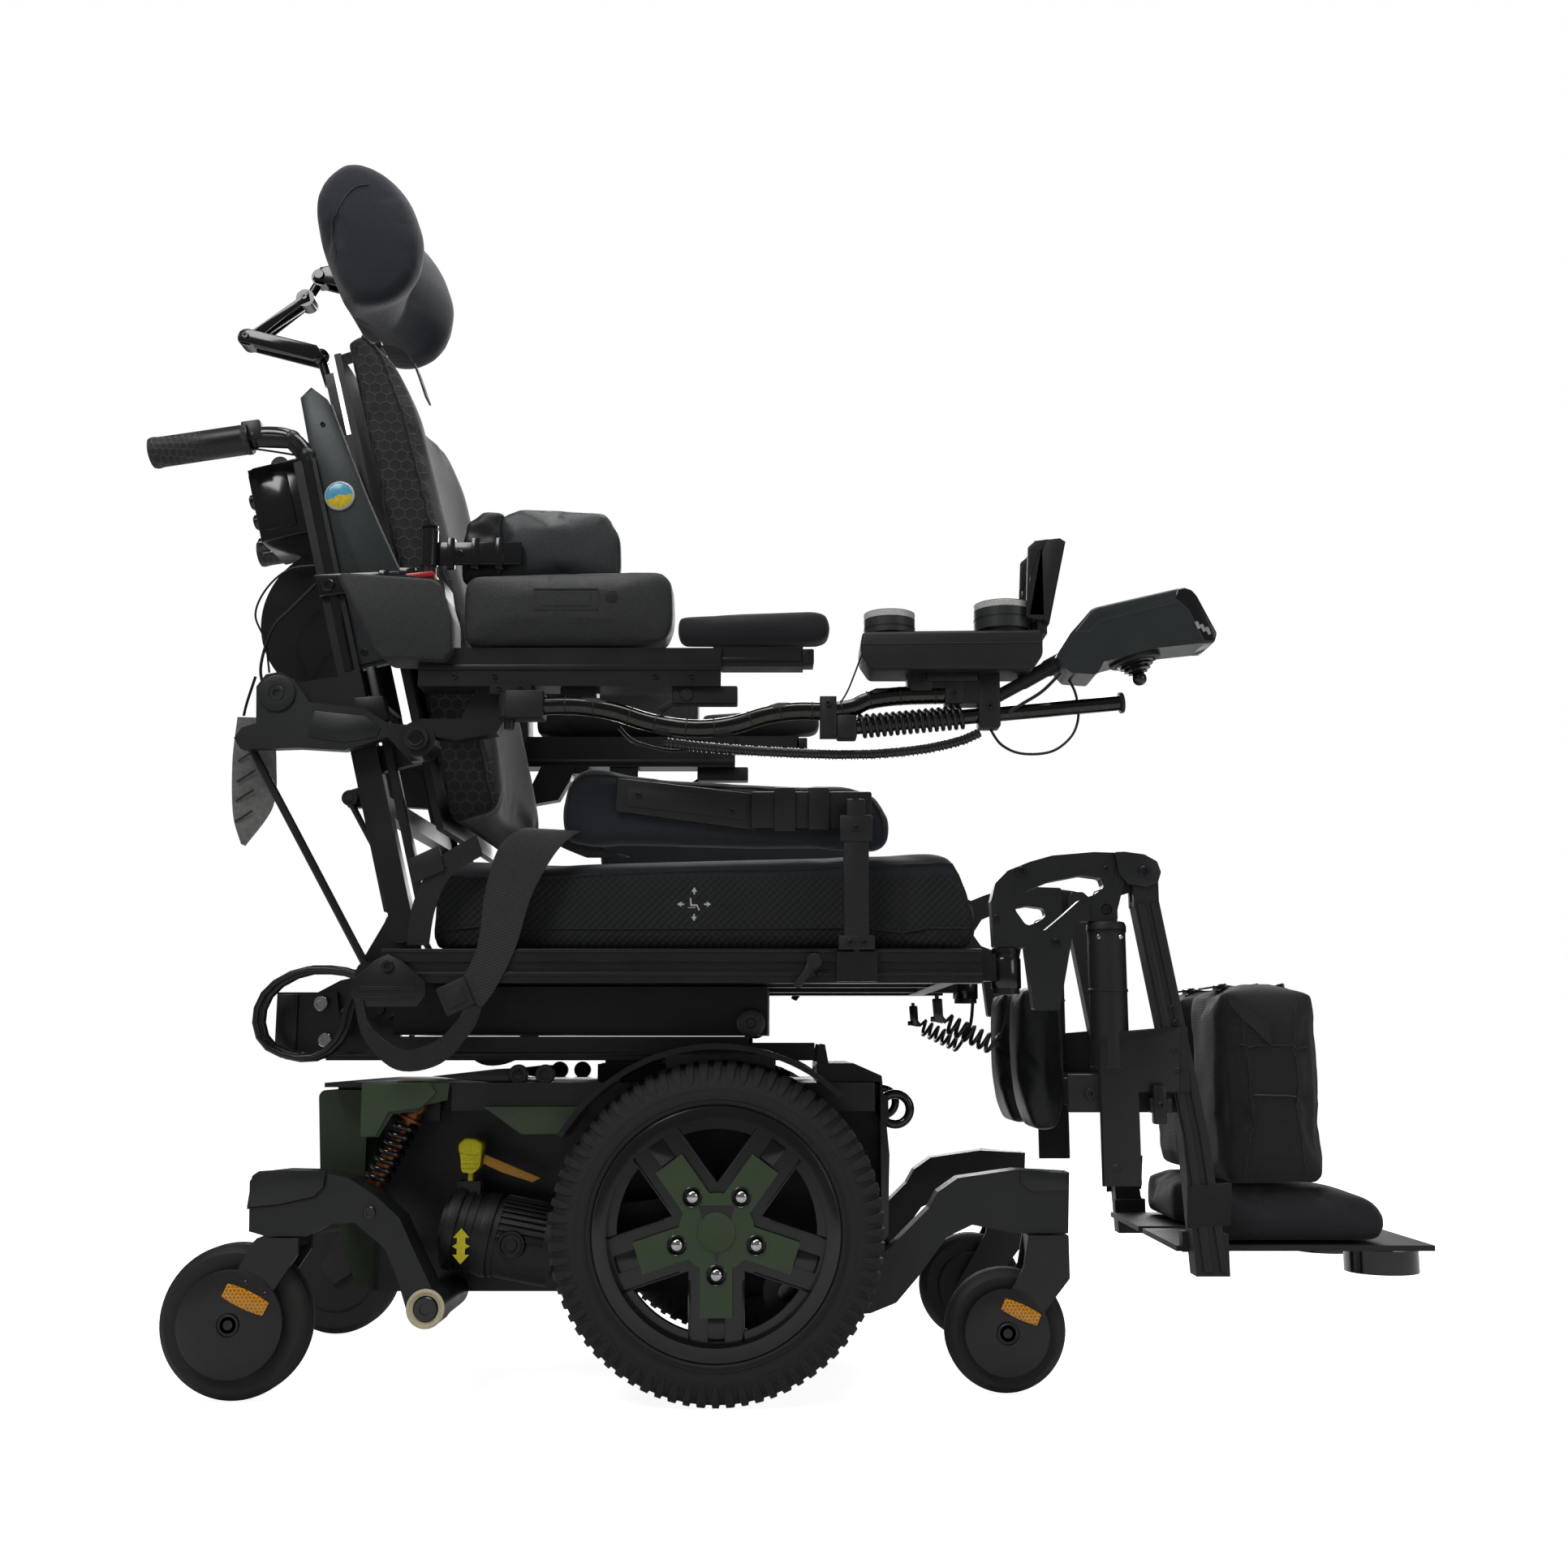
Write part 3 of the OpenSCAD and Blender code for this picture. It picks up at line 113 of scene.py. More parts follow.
def makeFinish(name, colour, rough, metal=0.0, coat=0.0, sheen=0.0, grain=900, grainHeight=0.1, mottle=0.22, pattern=None,
               size=0.004, height=0.4, patternTint=0.4, turn=(0, 0, 0), swap=False, scratches=0.0, specular=0.5, glow=0.0, edge=0.12):
    material = bpy.data.materials.new(name)
    material.use_nodes = True
    tree, add = nodeMaker(material)
    shader = tree.nodes["Principled BSDF"]
    shader.inputs["Metallic"].default_value = metal
    shader.inputs["Coat Weight"].default_value = coat
    shader.inputs["Coat Roughness"].default_value = 0.12
    shader.inputs["Sheen Weight"].default_value = sheen
    shader.inputs["Sheen Roughness"].default_value = 0.45
    shader.inputs["Specular IOR Level"].default_value = specular
    where = add("ShaderNodeTexCoord").outputs["Object"]
    clouds = add("ShaderNodeTexNoise", {"Vector": where, "Scale": 14.0, "Detail": 5.0, "Roughness": 0.6}).outputs["Fac"]
    fine = add("ShaderNodeTexNoise", {"Vector": where, "Scale": float(grain), "Detail": 2.0}).outputs["Fac"]
    dark = [c * (1 - mottle) for c in colour] + [1]
    light = [min(1, c * (1 + mottle)) for c in colour] + [1]
    tint = add("ShaderNodeMix", {0: clouds, 6: dark, 7: light}, data_type="RGBA").outputs[2]
    speck = add("ShaderNodeMapRange", {"Value": fine, "From Min": 0.3, "From Max": 0.7, "To Min": 0.82, "To Max": 1.18}).outputs["Result"]
    tint = add("ShaderNodeVectorMath", {0: tint, 3: speck}, operation="SCALE").outputs[0]
    relief = add("ShaderNodeMath", {0: fine, 1: grainHeight}, operation="MULTIPLY").outputs[0]
    if pattern:
        plane = add("ShaderNodeMapping", {"Vector": where, "Rotation": turn}).outputs[0]
        if pattern == "hex":
            mask = hexPattern(add, plane, size, edge)
        elif pattern == "cells":
            mask = add("ShaderNodeTexVoronoi", {"Vector": plane, "Scale": 1 / size, "Randomness": 1.0}, feature="DISTANCE_TO_EDGE").outputs["Distance"]
            mask = add("ShaderNodeMapRange", {"Value": mask, "From Min": 0.0, "From Max": 0.12}).outputs["Result"]
        elif pattern == "ribs":
            mask = add("ShaderNodeTexWave", {"Vector": plane, "Scale": 0.314 / size, "Distortion": 0.0}, bands_direction="X").outputs["Fac"]
        else:
            mask = weavePattern(add, plane, size)
        shade = add("ShaderNodeMapRange", {"Value": mask, "To Min": 1 - patternTint, "To Max": 1 + patternTint}).outputs["Result"]
        tint = add("ShaderNodeVectorMath", {0: tint, 3: shade}, operation="SCALE").outputs[0]
        raised = add("ShaderNodeMath", {0: mask, 1: height}, operation="MULTIPLY").outputs[0]
        relief = add("ShaderNodeMath", {0: relief, 1: raised}, operation="ADD").outputs[0]
    if scratches:
        stretched = add("ShaderNodeMapping", {"Vector": where, "Scale": (8, 8, 220)}).outputs[0]
        lines = add("ShaderNodeTexNoise", {"Vector": stretched, "Scale": 3.0, "Detail": 4.0}).outputs["Fac"]
        worn = add("ShaderNodeMapRange", {"Value": lines, "From Min": 0.62, "From Max": 0.78, "To Min": 0.0, "To Max": scratches}).outputs["Result"]
        tint = add("ShaderNodeMix", {0: worn, 6: tint, 7: (0.32, 0.32, 0.32, 1)}, data_type="RGBA").outputs[2]
    tree.links.new(tint, shader.inputs["Base Color"])
    roughness = add("ShaderNodeMapRange", {"Value": clouds, "From Min": 0.25, "From Max": 0.75, "To Min": max(0.02, rough - 0.07), "To Max": min(1, rough + 0.07)}).outputs["Result"]
    tree.links.new(roughness, shader.inputs["Roughness"])
    bump = add("ShaderNodeBump", {"Height": relief, "Strength": 0.55, "Distance": 0.0012})
    tree.links.new(bump.outputs["Normal"], shader.inputs["Normal"])
    if glow:
        shader.inputs["Emission Strength"].default_value = glow
        shader.inputs["Emission Color"].default_value = [*colour, 1]
    return material


side = (math.radians(90), 0, 0)
blackPaint = makeFinish("blackPaint", (0.012, 0.012, 0.013), 0.38, grain=1400, grainHeight=0.10, mottle=0.25, scratches=0.03)
glossBlack = makeFinish("glossBlack", (0.008, 0.008, 0.009), 0.16, coat=0.6, grain=300, grainHeight=0.02, mottle=0.15)
castBlack = makeFinish("castBlack", (0.016, 0.017, 0.018), 0.42, grain=900, grainHeight=0.22, mottle=0.25, coat=0.1)
matPlastic = makeFinish("matPlastic", (0.014, 0.014, 0.015), 0.52, grain=1100, grainHeight=0.30, mottle=0.2)
caseDark = makeFinish("caseDark", (0.007, 0.008, 0.008), 0.5, grain=800, grainHeight=0.15)
armyGreen = makeFinish("armyGreen", (0.046, 0.078, 0.034), 0.45, grain=1200, grainHeight=0.12, mottle=0.16, coat=0.08)
oliveGreen = makeFinish("oliveGreen", (0.034, 0.054, 0.024), 0.48, grain=1100, grainHeight=0.15, mottle=0.2)
tyreRubber = makeFinish("tyreRubber", (0.016, 0.016, 0.016), 0.72, grain=500, grainHeight=0.35, mottle=0.3, sheen=0.1)
casterRubber = makeFinish("casterRubber", (0.020, 0.020, 0.018), 0.62, grain=700, grainHeight=0.2, mottle=0.3)
casterDisc = makeFinish("casterDisc", (0.020, 0.021, 0.019), 0.34, grain=1000, grainHeight=0.18, mottle=0.2, scratches=0.03)
rimGloss = makeFinish("rimGloss", (0.006, 0.006, 0.006), 0.2, coat=0.5, grain=400, grainHeight=0.03)
brightSteel = makeFinish("brightSteel", (0.72, 0.72, 0.70), 0.16, metal=1.0, grain=500, grainHeight=0.05, mottle=0.1)
boltSteel = makeFinish("boltSteel", (0.05, 0.05, 0.055), 0.3, metal=0.7, grain=600, grainHeight=0.05)
darkChrome = makeFinish("darkChrome", (0.055, 0.052, 0.044), 0.14, metal=1.0, coat=0.4, grain=300, grainHeight=0.02)
motorBlack = makeFinish("motorBlack", (0.010, 0.010, 0.010), 0.45, grain=900, grainHeight=0.25)
copperBody = makeFinish("copperBody", (0.24, 0.09, 0.035), 0.35, metal=0.8, grain=700, grainHeight=0.15)
brassDull = makeFinish("brassDull", (0.33, 0.23, 0.10), 0.32, metal=0.8, grain=700, grainHeight=0.15, mottle=0.35)
leverYellow = makeFinish("leverYellow", (0.80, 0.72, 0.01), 0.42, grain=700, grainHeight=0.15, mottle=0.08)
labelYellow = makeFinish("labelYellow", (0.78, 0.66, 0.02), 0.5, grain=900, grainHeight=0.05, mottle=0.06)
amberGlass = makeFinish("amberGlass", (0.80, 0.33, 0.012), 0.22, coat=0.6, grain=500, grainHeight=0.02, mottle=0.12, pattern="hex", size=0.0042, height=0.3, patternTint=0.35, turn=side, edge=0.16)
amberPaint = makeFinish("amberPaint", (0.52, 0.24, 0.01), 0.4, coat=0.2, mottle=0.15)
creamRing = makeFinish("creamRing", (0.72, 0.63, 0.42), 0.5, grain=800, grainHeight=0.12, mottle=0.1)
padSkin = makeFinish("padSkin", (0.018, 0.019, 0.020), 0.55, grain=260, grainHeight=0.55, mottle=0.25, pattern="cells", size=0.0016, height=0.16, patternTint=0.10, sheen=0.08)
slimFabric = makeFinish("slimFabric", (0.013, 0.013, 0.016), 0.85, grain=1200, grainHeight=0.3, sheen=0.25, pattern="weave", size=0.0024, height=0.2, patternTint=0.12)
leather = makeFinish("leather", (0.026, 0.031, 0.033), 0.37, coat=0.12, grain=420, grainHeight=0.25, mottle=0.18, pattern="cells", size=0.0012, height=0.10, patternTint=0.06)
gatheredSkin = makeFinish("gatheredSkin", (0.012, 0.013, 0.014), 0.45, grain=260, grainHeight=0.3)
headKnit = makeFinish("headKnit", (0.019, 0.021, 0.030), 0.9, sheen=0.35, grain=1500, grainHeight=0.5, mottle=0.2, pattern="weave", size=0.0020, height=0.25, patternTint=0.22)
hexMesh = makeFinish("hexMesh", (0.021, 0.021, 0.022), 0.75, sheen=0.12, grain=1300, grainHeight=0.35, pattern="hex", size=0.0140, height=1.0, patternTint=0.55, turn=side, edge=0.10)
cushionSide = makeFinish("cushionSide", (0.011, 0.012, 0.013), 0.8, sheen=0.2, grain=1300, grainHeight=0.3, pattern="weave", size=0.0062, height=0.8, patternTint=0.5, turn=(0, math.radians(45), 0))
cushionTop = makeFinish("cushionTop", (0.012, 0.017, 0.024), 0.85, sheen=0.35, grain=1500, grainHeight=0.4, pattern="weave", size=0.0022, height=0.2, patternTint=0.12)
backFabric = makeFinish("backFabric", (0.013, 0.013, 0.014), 0.85, sheen=0.25, grain=1400, grainHeight=0.4, pattern="weave", size=0.0028, height=0.25, patternTint=0.18)
bagCloth = makeFinish("bagCloth", (0.010, 0.010, 0.010), 0.78, sheen=0.15, grain=1300, grainHeight=0.35, pattern="weave", size=0.0020, height=0.45, patternTint=0.3)
webbing = makeFinish("webbing", (0.030, 0.029, 0.028), 0.72, sheen=0.2, grain=1200, grainHeight=0.3, pattern="weave", size=0.0030, height=0.6, patternTint=0.3, turn=(0, math.radians(20), 0))
webbingDark = makeFinish("webbingDark", (0.012, 0.012, 0.012), 0.75, sheen=0.15, grain=1200, grainHeight=0.3, pattern="weave", size=0.0026, height=0.5, patternTint=0.3)
gripRubber = makeFinish("gripRubber", (0.034, 0.033, 0.031), 0.62, grain=600, grainHeight=0.2, pattern="hex", size=0.0078, height=1.4, patternTint=0.35, turn=side, edge=0.22)
backPlate = makeFinish("backPlate", (0.036, 0.044, 0.046), 0.42, metal=0.35, grain=800, grainHeight=0.12, mottle=0.15, scratches=0.04)
joystickShell = makeFinish("joystickShell", (0.030, 0.036, 0.038), 0.38, grain=1200, grainHeight=0.15, mottle=0.12, coat=0.1)
cableBlack = makeFinish("cableBlack", (0.010, 0.010, 0.010), 0.35, grain=700, grainHeight=0.1, coat=0.15)
conduitShine = makeFinish("conduitShine", (0.055, 0.055, 0.056), 0.22, metal=0.5, coat=0.4, grain=500, grainHeight=0.05)
tagPaper = makeFinish("tagPaper", (0.20, 0.20, 0.19), 0.3, coat=0.5, grain=200, grainHeight=0.1, mottle=0.35)
tagSlit = makeFinish("tagSlit", (0.02, 0.02, 0.02), 0.5)
pearlRim = makeFinish("pearlRim", (0.62, 0.62, 0.58), 0.35, grain=500, grainHeight=0.05, mottle=0.05)
puckGrey = makeFinish("puckGrey", (0.035, 0.037, 0.038), 0.42, grain=900, grainHeight=0.12)
screenGrey = makeFinish("screenGrey", (0.42, 0.42, 0.40), 0.3, coat=0.3, grain=300, grainHeight=0.03)
redPlastic = makeFinish("redPlastic", (0.60, 0.02, 0.03), 0.35, coat=0.3, grain=500, grainHeight=0.05)
whitePrint = makeFinish("whitePrint", (0.62, 0.62, 0.62), 0.6, grain=800, grainHeight=0.1)
skyPrint = makeFinish("skyPrint", (0.10, 0.42, 0.62), 0.25, coat=0.6, grain=300, grainHeight=0.03)
sunPrint = makeFinish("sunPrint", (0.85, 0.62, 0.04), 0.25, coat=0.6, grain=300, grainHeight=0.03)
steelGrey = makeFinish("steelGrey", (0.10, 0.10, 0.10), 0.35, metal=0.8, grain=700, grainHeight=0.1, scratches=0.2)

nodeFinish = {
    "chassis_frame": blackPaint, "battery_box": caseDark, "batteries": matPlastic, "side_panels": oliveGreen, "drive_motors": motorBlack,
    "body_trim": glossBlack, "lift_middle_column": steelGrey, "lift_platform": blackPaint, "tilt_carriage": blackPaint,
    "seat_frame": blackPaint, "back_frame": blackPaint, "arm_links": castBlack, "level_rods": blackPaint, "headrest_stem": glossBlack,
    "control_arm": matPlastic, "joystick_body": joystickShell, "joystick_gimbal": matPlastic, "joystick_stick": glossBlack,
    "switch_button_rear": puckGrey, "switch_button_front": puckGrey, "seat_cables": cableBlack, "control_cables": cableBlack,
    "seat_cushion": cushionSide, "seat_belt": webbing, "back_cushion": hexMesh, "headrest_pad": headKnit}
for sideName in ("right", "left"):
    nodeFinish.update({
        "rear_shock_" + sideName: glossBlack, "freewheel_lever_" + sideName: leverYellow, "drive_tyre_" + sideName: tyreRubber,
        "drive_rim_" + sideName: rimGloss, "rear_arm_" + sideName: castBlack, "front_arm_" + sideName: castBlack,
        "caster_fork_rear_" + sideName: casterDisc, "caster_fork_front_" + sideName: casterDisc,
        "caster_wheel_rear_" + sideName: casterRubber, "caster_wheel_front_" + sideName: casterRubber,
        "armrest_frame_" + sideName: blackPaint, "armrest_pad_" + sideName: padSkin, "leg_hanger_" + sideName: castBlack,
        "leg_frame_" + sideName: matPlastic, "leg_padding_" + sideName: bagCloth, "lateral_pad_" + sideName: leather,
        "thigh_pad_" + sideName: cushionTop})
for name, material in nodeFinish.items():
    if name in nodes:
        nodes[name].data.materials.clear()
        nodes[name].data.materials.append(material)
print("finishes ready")


# a carried-over node takes a second finish where the test on a face's centre and normal holds
def paintPart(name, material, test):
    mesh = nodes[name].data
    mesh.materials.append(material)
    index = len(mesh.materials) - 1
    for face in mesh.polygons:
        c = face.center
        if test((c.x + 0.062) * 1000, c.y * 1000, c.z * 1000, face.normal):
            face.material_index = index


# ---- shape helpers ----
def finishPiece(bm, name, material, body, sharp=38, recalc=True):
    if recalc:
        bmesh.ops.recalc_face_normals(bm, faces=bm.faces)
    mesh = bpy.data.meshes.new(name)
    bm.to_mesh(mesh)
    bm.free()
    for face in mesh.polygons:
        face.use_smooth = True
    mesh.set_sharp_from_angle(angle=math.radians(sharp))
    piece = bpy.data.objects.new(name, mesh)
    scene.collection.objects.link(piece)
    for m in material if isinstance(material, (list, tuple)) else [material]:
        mesh.materials.append(m)
    if body:
        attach(piece, body)
    return piece


def gather(parts):
    whole = bmesh.new()
    for part in parts:
        mesh = bpy.data.meshes.new("gathering")
        part.to_mesh(mesh)
        part.free()
        whole.from_mesh(mesh)
        bpy.data.meshes.remove(mesh)
    return whole


# flat outline in the side view, pulled from yA to yB
def cut(points, yA, yB, rounding=0.0, segments=2):
    bm = bmesh.new()
    face = bm.faces.new([bm.verts.new(at(x, yA, z)) for x, z in points])
    pulled = bmesh.ops.extrude_face_region(bm, geom=[face])
    moved = [v for v in pulled["geom"] if isinstance(v, bmesh.types.BMVert)]
    bmesh.ops.translate(bm, vec=(0, (yB - yA) / 1000, 0), verts=moved)
    bmesh.ops.recalc_face_normals(bm, faces=bm.faces)
    if rounding:
        bmesh.ops.bevel(bm, geom=bm.edges[:], offset=rounding / 1000, offset_type="OFFSET", segments=segments, profile=0.5,
                        affect="EDGES", clamp_overlap=True, material=-1)
    return bm


def block(x0, x1, y0, y1, z0, z1, rounding=1.0, segments=2):
    bm = bmesh.new()
    bmesh.ops.create_cube(bm, size=1)
    bmesh.ops.scale(bm, vec=((x1 - x0) / 1000, abs(y1 - y0) / 1000, (z1 - z0) / 1000), verts=bm.verts)
    bmesh.ops.translate(bm, vec=at((x0 + x1) / 2, (y0 + y1) / 2, (z0 + z1) / 2), verts=bm.verts)
    if rounding:
        bmesh.ops.bevel(bm, geom=bm.edges[:], offset=rounding / 1000, offset_type="OFFSET", segments=segments, profile=0.5,
                        affect="EDGES", clamp_overlap=True, material=-1)
    return bm


# outline of radius and height spun about an axis through a place
def turned(profile, place, axis=(0, 0, 1), steps=32):
    bm = bmesh.new()
    verts = [bm.verts.new((r / 1000, 0, h / 1000)) for r, h in profile]
    edges = [bm.edges.new((verts[i], verts[i + 1])) for i in range(len(verts) - 1)]
    bmesh.ops.spin(bm, geom=verts + edges, cent=(0, 0, 0), axis=(0, 0, 1), dvec=(0, 0, 0), angle=2 * math.pi, steps=steps,
                   use_merge=True, use_duplicate=False)
    bmesh.ops.remove_doubles(bm, verts=bm.verts, dist=1e-6)
    bmesh.ops.recalc_face_normals(bm, faces=bm.faces)
    turn = Vector(axis).to_track_quat("Z", "Y").to_matrix().to_4x4()
    turn.translation = place
    bmesh.ops.transform(bm, matrix=turn, verts=bm.verts)
    return bm


def ringOf(radius, wire, place, axis, steps=40, sides=10):
    profile = [(radius + wire * math.cos(2 * math.pi * k / sides), wire * math.sin(2 * math.pi * k / sides)) for k in range(sides + 1)]
    return turned(profile, place, axis, steps)


# socket-head screw standing on a surface, axis pointing out of it
def screw(place, axis, r=5.0, tall=3.0, steps=20):
    return turned([(0, -0.6), (r, -0.6), (r, tall - 0.8), (r - 0.8, tall), (r * 0.5, tall), (r * 0.46, tall - 1.8), (0, tall - 1.8)],
                  place, axis, steps)


def smoothRoute(points, per=6):
    route = []
    pts = [Vector(p) for p in points]
    for i in range(len(pts) - 1):
        a, b, c, d = pts[max(i - 1, 0)], pts[i], pts[i + 1], pts[min(i + 2, len(pts) - 1)]
        for k in range(per):
            t = k / per
            route.append(0.5 * ((2 * b) + (c - a) * t + (2 * a - 5 * b + 4 * c - d) * t * t + (3 * b - a - 3 * c + d) * t ** 3))
    route.append(pts[-1])
    return route


def wire(name, route, radius, material, body, slotName, fineness=3):
    curve = bpy.data.curves.new(name, "CURVE")
    curve.dimensions = "3D"
    curve.bevel_depth = radius / 1000
    curve.bevel_resolution = fineness
    curve.use_fill_caps = True
    spline = curve.splines.new("POLY")
    spline.points.add(len(route) - 1)
    for point, place in zip(spline.points, route):
        point.co = (*place, 1)
    curve.materials.append(material)
    piece = bpy.data.objects.new(name, curve)
    scene.collection.objects.link(piece)
    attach(piece, body)
    return piece


# the same maker run for each side: sign is -1 on the user's right
def bothSides(maker):
    for sideName, sign in (("right", -1), ("left", 1)):
        maker(sideName, sign)


# ---- cords ----
cords = {"armY": -276, "coilTurns": 16, "coilRadius": 11.2, "coilWire": 2.65, "loopWire": 5.5, "sideWire": 3.5}


def chaikin(points):
    pts = [Vector(p) for p in points]
    route = [pts[0]]
    for a, b in zip(pts, pts[1:]):
        route += [a.lerp(b, 0.25), a.lerp(b, 0.75)]
    return route + [pts[-1]]


loopRoute = chaikin([at(*p) for p in ((-404.5, -170, 448), (-430, -170, 456), (-470, -169, 456), (-506, -168, 436), (-520, -166, 405),
                     (-511, -164, 373), (-480, -162, 358), (-446, -160, 360), (-424, -158, 384), (-418, -157, 420), (-404.5, -156, 446))])
loopCord = wire("seat_loop_cord", loopRoute, cords["loopWire"], cableBlack, "seat", "cable")
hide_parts("seat_cables")
for sideName, sign in (("right", 1), ("left", -1)):
    route = [Vector((p.x, (p.y - 0.020) * sign, p.z)) for p in loopRoute]
    thin = wire("seat_thin_cord_" + sideName, route, cords["sideWire"], cableBlack, "seat", "cable")
    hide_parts("seat_cables")

armLow, armHigh = at(120, cords["armY"], 711.6), at(437, cords["armY"], 741)
armDir = (armHigh - armLow).normalized()
coilStart = at(150, cords["armY"], 714.4) + armDir * 0.003
coilSide = Vector((0, 1, 0))
coilUp = armDir.cross(coilSide)
coilRoute = []
coilSteps = cords["coilTurns"] * 16
for k in range(coilSteps + 1):
    angle = 2 * math.pi * k / 16
    coilRoute.append(coilStart + armDir * 0.114 * k / coilSteps + (coilSide * math.cos(angle) + coilUp * math.sin(angle)) * cords["coilRadius"] / 1000)
coilCord = wire("coiled_cord", coilRoute, cords["coilWire"], cableBlack, "controls", "cable", 2)
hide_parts("control_cables")

conduitRoute = chaikin([at(x, cords["armY"], z) for x, z in ((-60, 697), (-20, 692), (60, 686), (150, 683), (215, 688), (262, 698), (284, 708))])
conduitCord = wire("conduit_cord", conduitRoute, 4.9, cableBlack, "controls", "cable")
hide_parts("control_cables")
print("cords laid")


# ---- drive wheels ----
driveWheel = {"y": 222, "z": 178, "radius": 178, "seat": 124, "half": 37.5, "lugs": 72}


def makeTyre(sideName, sign):
    d = driveWheel
    b, h, r = d["seat"], d["half"], d["radius"]
    centre = at(0, sign * d["y"], d["z"])
    half = [(b, h - 5.7), (b + 7, h - 5.7), (b + 8.5, h - 2.8), (b + 10.5, h - 1.6), (b + 12, h - 1.9), (b + 24, h - 0.4), (r - 26, h - 0.6),
            (r - 23, h - 1.6), (r - 14, h - 4.6), (r - 7, h - 9), (r - 3.2, h - 17), (r - 2.4, h - 26), (r - 2.4, 2.2), (r - 4, 1.6), (r - 4, 0)]
    profile = half + [(x, -z) for x, z in reversed(half[:-1])]
    profile.append(profile[0])
    parts = [turned(profile, centre, (0, 1, 0), 120)]
    # shoulder lugs: a wedge block lying on the shoulder, repeated around the tyre
    for flank in (-1, 1):
        for k in range(d["lugs"]):
            angle = 2 * math.pi * (k + (0.5 if flank > 0 else 0)) / d["lugs"]
            wide = 0.0042 if k % 2 else 0.0034
            reach = r - 27 if k % 2 else r - 23
            bm = bmesh.new()
            rows = ((reach, h - 1.0, wide * 0.45), (r - 14, h - 1.6, wide * 0.8), (r - 3.5, h - 8.5, wide), (r - 0.2, h - 16, wide), (r - 0.2, h - 29, wide * 0.9))
            tops = [[bm.verts.new((s * w, flank * y / 1000, x / 1000)) for s in (-1, 1)] for x, y, w in rows]
            deep = [[bm.verts.new((s * w * 1.35, flank * (y - 4) / 1000, (x - 4) / 1000)) for s in (-1, 1)] for x, y, w in rows]
            for i in range(len(rows) - 1):
                bm.faces.new((tops[i][0], tops[i][1], tops[i + 1][1], tops[i + 1][0]))
                for s in (0, 1):
                    bm.faces.new((tops[i][s], tops[i + 1][s], deep[i + 1][s], deep[i][s]))
            bm.faces.new((tops[0][0], tops[0][1], deep[0][1], deep[0][0]))
            bm.faces.new((tops[-1][0], tops[-1][1], deep[-1][1], deep[-1][0]))
            bmesh.ops.recalc_face_normals(bm, faces=bm.faces)
            bmesh.ops.rotate(bm, cent=(0, 0, 0), matrix=Matrix.Rotation(angle, 3, "Y"), verts=bm.verts)
            bmesh.ops.translate(bm, vec=centre, verts=bm.verts)
            parts.append(bm)
    # raised ribs on the side wall
    for ribRadius in (b + 14.5, r - 29):
        parts.append(ringOf(ribRadius, 0.7, centre + Vector((0, sign * (h - 0.7) / 1000, 0)), (0, 1, 0), 120, 6))
    tyre = finishPiece(gather(parts), "tyre_tread_" + sideName, tyreRubber, "drive_wheel_" + sideName, 40, recalc=False)
    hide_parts("drive_tyre_" + sideName)


bothSides(makeTyre)


